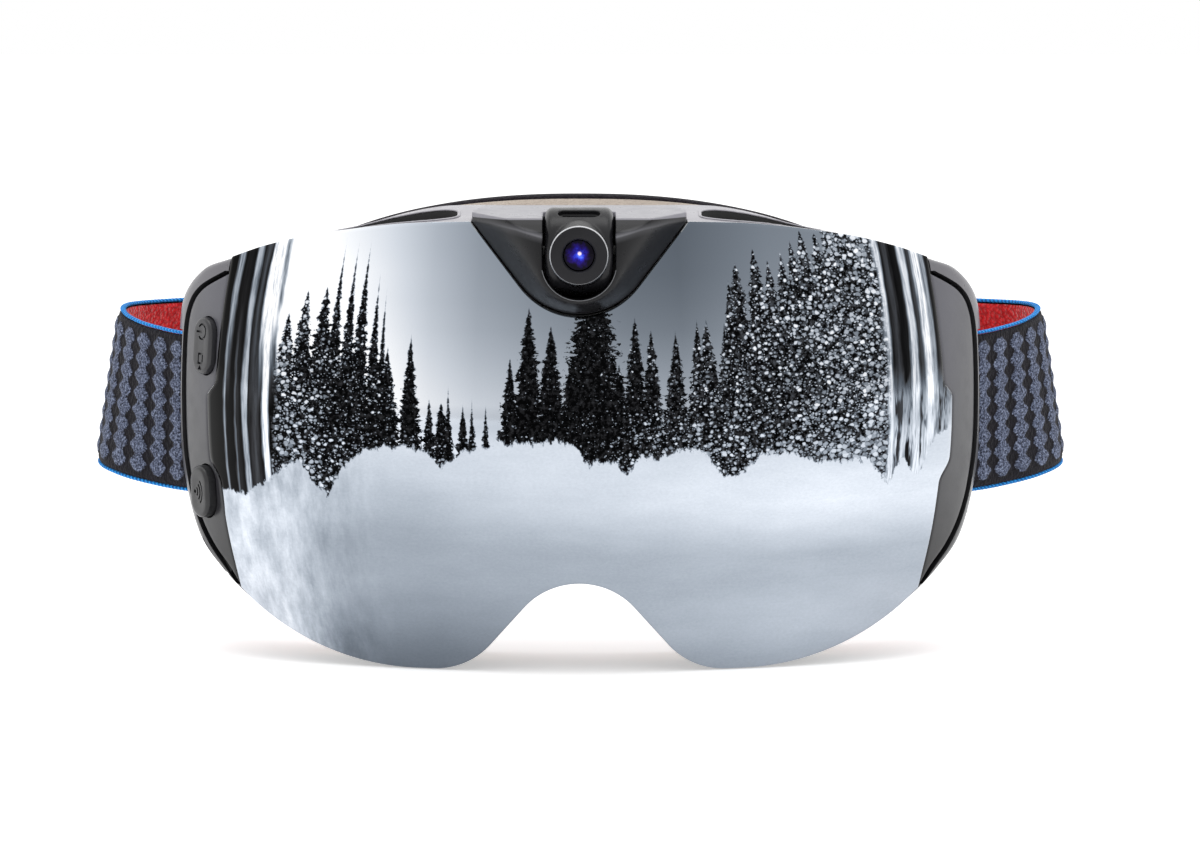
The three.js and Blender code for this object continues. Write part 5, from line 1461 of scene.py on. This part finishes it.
def band(name, rear_y, sign, low, high, beads, width, pitch, across_count, fuzz):
    """One layer of the strap between two distances from its middle surface."""
    stations = strap_stations(rear_y, pitch)
    centre, across, up = strap_axes(stations)
    heights = np.linspace(-width / 2, width / 2, across_count)
    gone, x = stations[:, 4], stations[:, 0]
    fade = np.clip((x - 42) / 6, 0, 1) * np.clip((gone - 1.0) / 3, 0, 1)
    grid_u, grid_v = np.meshgrid(gone, heights, indexing="ij")
    raised = bead_height(grid_u, grid_v) * fade[:, None] if beads else np.zeros_like(grid_u)
    edge = np.clip((width / 2 - np.abs(grid_v)) / 0.8, 0, 1) ** 0.5
    rough = fuzz * np.sin(grid_u * 5.1 + 3 * np.sin(grid_v * 2.3)) * np.sin(grid_v * 4.7 + 2 * np.sin(grid_u * 1.9))
    points, values = [], []
    for side in (0, 1):
        if side == 0:
            lift = lerp((low + high) / 2, high, edge) + raised * beads + rough * (1 if not beads else 0.4)
        else:
            lift = lerp((low + high) / 2, low, edge) - (rough if not beads else 0)
        body = centre[:, None, :] + across[:, None, :] * lift[:, :, None] + up[:, None, :] * heights[None, :, None]
        points.append(body.reshape(-1, 3))
        values.append((raised if side == 0 else np.zeros_like(raised)).reshape(-1))
    cloud = np.concatenate(points)
    cloud[:, 0] *= sign
    return from_arrays(name, cloud, sheet_faces(len(gone), across_count), {"raised": np.concatenate(values)})


def from_arrays(name, cloud, faces, attributes):
    mesh = bpy.data.meshes.new(name)
    mesh.from_pydata((cloud * MM).tolist(), [], faces)
    for key, values in attributes.items():
        mesh.attributes.new(key, "FLOAT", "POINT").data.foreach_set("value", values.astype(np.float32))
    work = bmesh.new()
    work.from_mesh(mesh)
    bmesh.ops.recalc_face_normals(work, faces=work.faces)
    work.to_mesh(mesh)
    work.free()
    obj = bpy.data.objects.new(name, mesh)
    scene.collection.objects.link(obj)
    return obj


def tube(name, path, radii, ups, count=10):
    """An oval tube along a path, with the distance along it kept for the thread turns."""
    path, ups = np.array(path, float), np.array(ups, float)
    run = np.gradient(path, axis=0)
    run = unit_rows(run)
    side = np.cross(run, ups)
    side = unit_rows(side)
    gone = distances(path)
    angles = np.array(circle(count))
    turns = 1 + 0.07 * np.sin(gone[:, None] * 2 * math.pi / THREAD_TURN + angles[None, :])
    rings = (
        path[:, None, :]
        + side[:, None, :] * (np.cos(angles)[None, :] * radii[0] * turns)[:, :, None]
        + ups[:, None, :] * (np.sin(angles)[None, :] * radii[1] * turns)[:, :, None]
    )
    n, faces = count, []
    for i in range(len(path) - 1):
        faces += [(i * n + j, i * n + (j + 1) % n, (i + 1) * n + (j + 1) % n, (i + 1) * n + j) for j in range(n)]
    faces += [tuple(range(n)), tuple(range((len(path) - 1) * n, len(path) * n))]
    run_values = (gone[:, None] + angles[None, :] / (2 * math.pi) * THREAD_TURN).reshape(-1)
    return from_arrays(name, rings.reshape(-1, 3), faces, {"run": run_values})


def edge_tubes(prefix, rear_y, sign):
    stations = strap_stations(rear_y, 0.45)
    centre, across, up = strap_axes(stations)
    made = []
    for edge_name, end in (("upper", 1), ("lower", -1)):
        path = centre + up * (end * (STRAP_W / 2 - 0.15))
        path[:, 0] *= sign
        ups = up.copy()
        ups[:, 0] *= sign
        made.append(tube(f"{prefix}_binding_{edge_name}", path, (0.7, 0.42), ups))
    return made


def pin_loop(name, sign):
    """The sewn tube of webbing round the strap's pin, with the band's end leading into it."""
    profile = []
    for a in circle(56):
        profile.append((sign * PIN_X, PIN_Y, a))
    rings = []
    for z in steps(STRAP_Z - STRAP_W / 2 + 0.6, STRAP_Z + STRAP_W / 2 - 0.6, 46):
        ring = []
        for a in circle(56):
            r = 3.85 + 0.06 * math.sin(z * 4.2) * math.sin(a * 30)
            ring.append((sign * PIN_X + r * math.cos(a), PIN_Y + r * math.sin(a), z))
        rings.append(ring)
    outer = loft(name, rings)
    return combine(outer, rod("bore", (sign * PIN_X, PIN_Y, -25), (sign * PIN_X, PIN_Y, 32), 1.9, 40))


STRAPS = (
    ("strap_left", 1, INNER_Y, "right_adjuster"),
    ("strap_right", -1, OUTER_Y, "left_adjuster"),
)
for strap_name, sign, rear_y, adjuster in STRAPS:
    start, end = (sign * STRAIGHT * MM, rear_y * MM, REAR_Z * MM), (sign * STRAP_END_X * MM, rear_y * MM, REAR_Z * MM)
    knit = band(strap_name + "_knit", rear_y, sign, -0.3, 0.75, 0.75, STRAP_W - 1.2, 0.5, 84, 0.06)
    lining = band(strap_name + "_lining", rear_y, sign, -1.0, -0.32, 0, STRAP_W - 1.6, 0.8, 52, 0.07)
    pieces = [(knit, KNIT, [strap_name]), (lining, TERRY, [])]
    pieces += [(piece, BINDING, []) for piece in edge_tubes(strap_name, rear_y, sign)]
    for piece, look, nodes in pieces:
        shade(piece, 70)
        piece.data.materials.append(look)
        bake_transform(piece)
        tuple(start)
        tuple(end)
        if nodes:
            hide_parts(*nodes)
    place(pin_loop(strap_name + "_pin_loop", sign), "goggles", "webbing", FLAT, [], 50)


# ---------------------------------------------------------------- adjusters at the back
def ribbon_path(points, pitch):
    points = np.array(points, float)
    gone = distances(points)
    wanted = np.linspace(0, gone[-1], int(gone[-1] / pitch) + 1)
    return np.column_stack([np.interp(wanted, gone, points[:, k]) for k in range(2)])


def fold_path(turn):
    """The webbing's middle line in plan: in along the strap, round the bar and back."""
    bar = OUTER_Y + LOOP_R
    points = [(22.2, OUTER_Y), (LOOP_X - 1, OUTER_Y)]
    for k in range(25):
        a = -math.pi / 2 + math.pi * k / 24
        points.append((LOOP_X + LOOP_R * math.cos(a), bar + LOOP_R * math.sin(a)))
    points += [(LOOP_X - 4, bar + LOOP_R - 0.5), (LOOP_X - 8, OUTER_Y + 3.9)]
    points += [(LOOP_X - 12, OUTER_Y + 2.75), (8.4, OUTER_Y + 2.6)]
    path = ribbon_path(points, 0.5)
    if turn:
        path = np.column_stack([-path[:, 0], OUTER_Y + INNER_Y - path[:, 1]])
    return path


def flat_ribbon(name, path, thickness, width, across_count):
    """A webbing strip standing on its edge along a plan path, with rounded selvedges."""
    run = np.gradient(path, axis=0)
    run = unit_rows(run)
    outward = np.column_stack([run[:, 1], -run[:, 0]])
    heights = np.linspace(-width / 2, width / 2, across_count)
    section = [(h, thickness / 2 * min(1, (width / 2 - abs(h)) / 0.8) ** 0.5) for h in heights]
    section = section + [(h, -t) for h, t in reversed(section[1:-1])]
    rings = []
    for (x, y), (ox, oy) in zip(path, outward):
        rings.append([(x + ox * t, y + oy * t, REAR_Z + h) for h, t in section])
    return loft(name, rings)


def stitch_box(name, x0, x1, y, turn):
    """A sewn rectangle with a cross: short raised stitches."""
    z0, z1 = REAR_Z - 13, REAR_Z + 13
    lines = [((x0, z0), (x1, z0)), ((x1, z0), (x1, z1)), ((x1, z1), (x0, z1)), ((x0, z1), (x0, z0))]
    lines += [((x0, z0), (x1, z1)), ((x1, z0), (x0, z1))]
    stitches = []
    for (ax, az), (bx, bz) in lines:
        length = math.hypot(bx - ax, bz - az)
        count = int(length / 2.0)
        for k in range(count):
            a, b = (k + 0.15) / count, (k + 0.85) / count
            stitches.append(((lerp(ax, bx, a), lerp(az, bz, a)), (lerp(ax, bx, b), lerp(az, bz, b))))
    points, faces = [], []
    for (ax, az), (bx, bz) in stitches:
        length = math.hypot(bx - ax, bz - az)
        dx, dz = (bx - ax) / length, (bz - az) / length
        base = len(points)
        for k in range(5):
            f = k / 4
            r = 0.24 * math.sqrt(max(1 - (2 * f - 1) ** 4, 0.12))
            for a in circle(6):
                off, out = r * math.cos(a), r * math.sin(a) * 0.8
                points.append((lerp(ax, bx, f) - dz * off, y + out, lerp(az, bz, f) + dx * off))
        for k in range(4):
            a = base + k * 6
            faces += [(a + j, a + (j + 1) % 6, a + 6 + (j + 1) % 6, a + 6 + j) for j in range(6)]
        faces += [tuple(range(base, base + 6)), tuple(range(base + 24, base + 30))]
    if turn:
        points = [(-px, OUTER_Y + INNER_Y - py, pz) for px, py, pz in points]
    return make(name, points, faces)


def slider_shape(name, turn):
    inner_y, bar_y, tall = INNER_Y - 1.5, OUTER_Y + LOOP_R, STRAP_W / 2
    body = rod(name, (LOOP_X, bar_y, REAR_Z - tall - 1), (LOOP_X, bar_y, REAR_Z + tall + 1), 1.35, 32)
    for end in (1, -1):
        z = sorted((REAR_Z + end * (tall + 0.5), REAR_Z + end * (tall + 2.4)))
        join_all(body, box("rail", LOOP_X - 8.2, LOOP_X + 8.2, inner_y - 2.2, bar_y + 1.6, z[0], z[1]))
        x = LOOP_X + end * 7
        join_all(body, box("bar", x - 1.2, x + 1.2, inner_y - 2.2, inner_y, REAR_Z - tall - 1, REAR_Z + tall + 1))
    if turn:
        body = moved(body, Matrix.Translation((0, OUTER_Y + INNER_Y, 0)) @ Matrix.Rotation(math.pi, 4, "Z"))
    return remeshed(body, 0.26, 4)


for name, turn, body in (("left", False, "left_adjuster"), ("right", True, "right_adjuster")):
    other = "right" if name == "left" else "left"
    place(slider_shape("slider_" + name + "_moulding", turn), body, "black", BLACK, ["slider_" + name], 60)
    path = fold_path(turn)
    strip = flat_ribbon("strap_end_" + other + "_fold", path, 1.9, STRAP_W - 0.8, 40)
    place(strip, body, "webbing", FLAT, ["strap_end_" + other], 50)
    for edge_name, end in (("upper", 1), ("lower", -1)):
        line = [(x, y, REAR_Z + end * (STRAP_W / 2 - 0.25)) for x, y in path]
        piping = tube(f"strap_end_{other}_binding_{edge_name}", line, (1.0, 0.6), [(0, 0, 1)] * len(line))
        place(piping, body, "webbing", BINDING, [], 70)
    stitches = stitch_box("strap_end_" + other + "_stitches", 10, 17, OUTER_Y + 3.55, turn)
    place(stitches, body, "webbing", BINDING, [], 60)


# ---------------------------------------------------------------- carried-over CAD nodes
CARRIED = {
    NICKEL: ["frame_magnet_", "lens_magnet_"],
    STEEL: ["cover_screw_", "cradle_screw_", "strap_pin_", "power_switch_", "wifi_switch", "usb_port", "card_socket"],
    BOARD: ["main_board", "image_sensor"],
    CELL: ["battery"],
    MESH_FOAM: ["vent_foam_"],
    FLEX: ["battery_cable", "camera_cable"],
    BLACK: ["camera_cradle", "lens_barrel", "tilt_pin_"],
    PAD: ["lens_gasket"],
}
for look, starts in CARRIED.items():
    for node_name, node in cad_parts.items():
        if any(node_name == s or (s.endswith("_") and node_name.startswith(s)) for s in starts):
            if node.material_slots:
                for material_slot in node.material_slots:
                    material_slot.link = "OBJECT"
                    material_slot.material = look
            else:
                node.data.materials.append(look)

# ---------------------------------------------------------------- stage, light and camera
lowest = min(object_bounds()[0].z, cad_box[0].z)
floor = make("floor", [(-6000, -6000, 0), (6000, -6000, 0), (6000, 6000, 0), (-6000, 6000, 0)], [(0, 1, 2, 3)])
floor.location.z = lowest - 0.0002
glow = {"Emission_Color": (1, 1, 1, 1), "Emission_Strength": 0.42}
floor_look = Look("floor_paint", Roughness=0.9, Specular_IOR_Level=0.1, **glow)
floor_tone = floor_look.ramp(floor_look.noise(3, 2, 0.5), (0.2, "f6f6f6"), (0.8, "fafafa"))
floor.data.materials.append(floor_look.finish(floor_tone))

world = bpy.data.worlds.new("studio")
scene.world = world
world.use_nodes = True
sky = world.node_tree
background = sky.nodes["Background"]


# The room is plain white to the eye; in reflections it is softly brighter overhead and behind.
direction = linked(sky, "ShaderNodeTexCoord").outputs["Generated"]
towards = linked(sky, "ShaderNodeSeparateXYZ", {0: direction}).outputs
rearward, overhead = (Value(sky, towards[axis]).math("MAXIMUM", 0.0) for axis in (1, 2))
background.inputs[0].default_value = (1, 1, 1, 1)
sky.links.new((overhead * 0.35 + (rearward * 0.25 + 1.0)).socket, background.inputs[1])
soft, plain = (linked(sky, "ShaderNodeBackground", {0: (1, 1, 1, 1), 1: level}) for level in (0.95, 1.0))
seen = linked(sky, "ShaderNodeLightPath").outputs
lit = linked(sky, "ShaderNodeMixShader", {0: seen["Is Glossy Ray"], 1: soft.outputs[0], 2: background.outputs[0]})
choose = linked(sky, "ShaderNodeMixShader", {0: seen["Is Camera Ray"], 1: lit.outputs[0], 2: plain.outputs[0]})
sky.links.new(choose.outputs[0], sky.nodes["World Output"].inputs[0])


def softbox(name, place_at, aim, size, power):
    data = bpy.data.lights.new(name, "AREA")
    data.shape, data.size, data.size_y, data.energy = "RECTANGLE", size[0], size[1], power
    lamp = bpy.data.objects.new(name, data)
    lamp.location = Vector(place_at)
    lamp.rotation_mode = "QUATERNION"
    lamp.rotation_quaternion = (Vector(aim) - Vector(place_at)).to_track_quat("-Z", "Y")
    scene.collection.objects.link(lamp)


softbox("top_softbox", (0, -0.05, 1.0), (0, 0, 0), (0.9, 0.45), 3.0)

scene.view_settings.view_transform = "Standard"
scene.view_settings.look = "None"

camera_data = bpy.data.cameras.new("photo_camera")
camera_data.sensor_width = 36
camera_data.lens = 175.7
camera_data.clip_start, camera_data.clip_end = 0.05, 100
camera = bpy.data.objects.new("photo_camera", camera_data)
camera.location = (0.00478, -1.38467, 0.12202)
camera.rotation_euler = (math.radians(85), 0, 0)
scene.collection.objects.link(camera)
scene.camera = camera
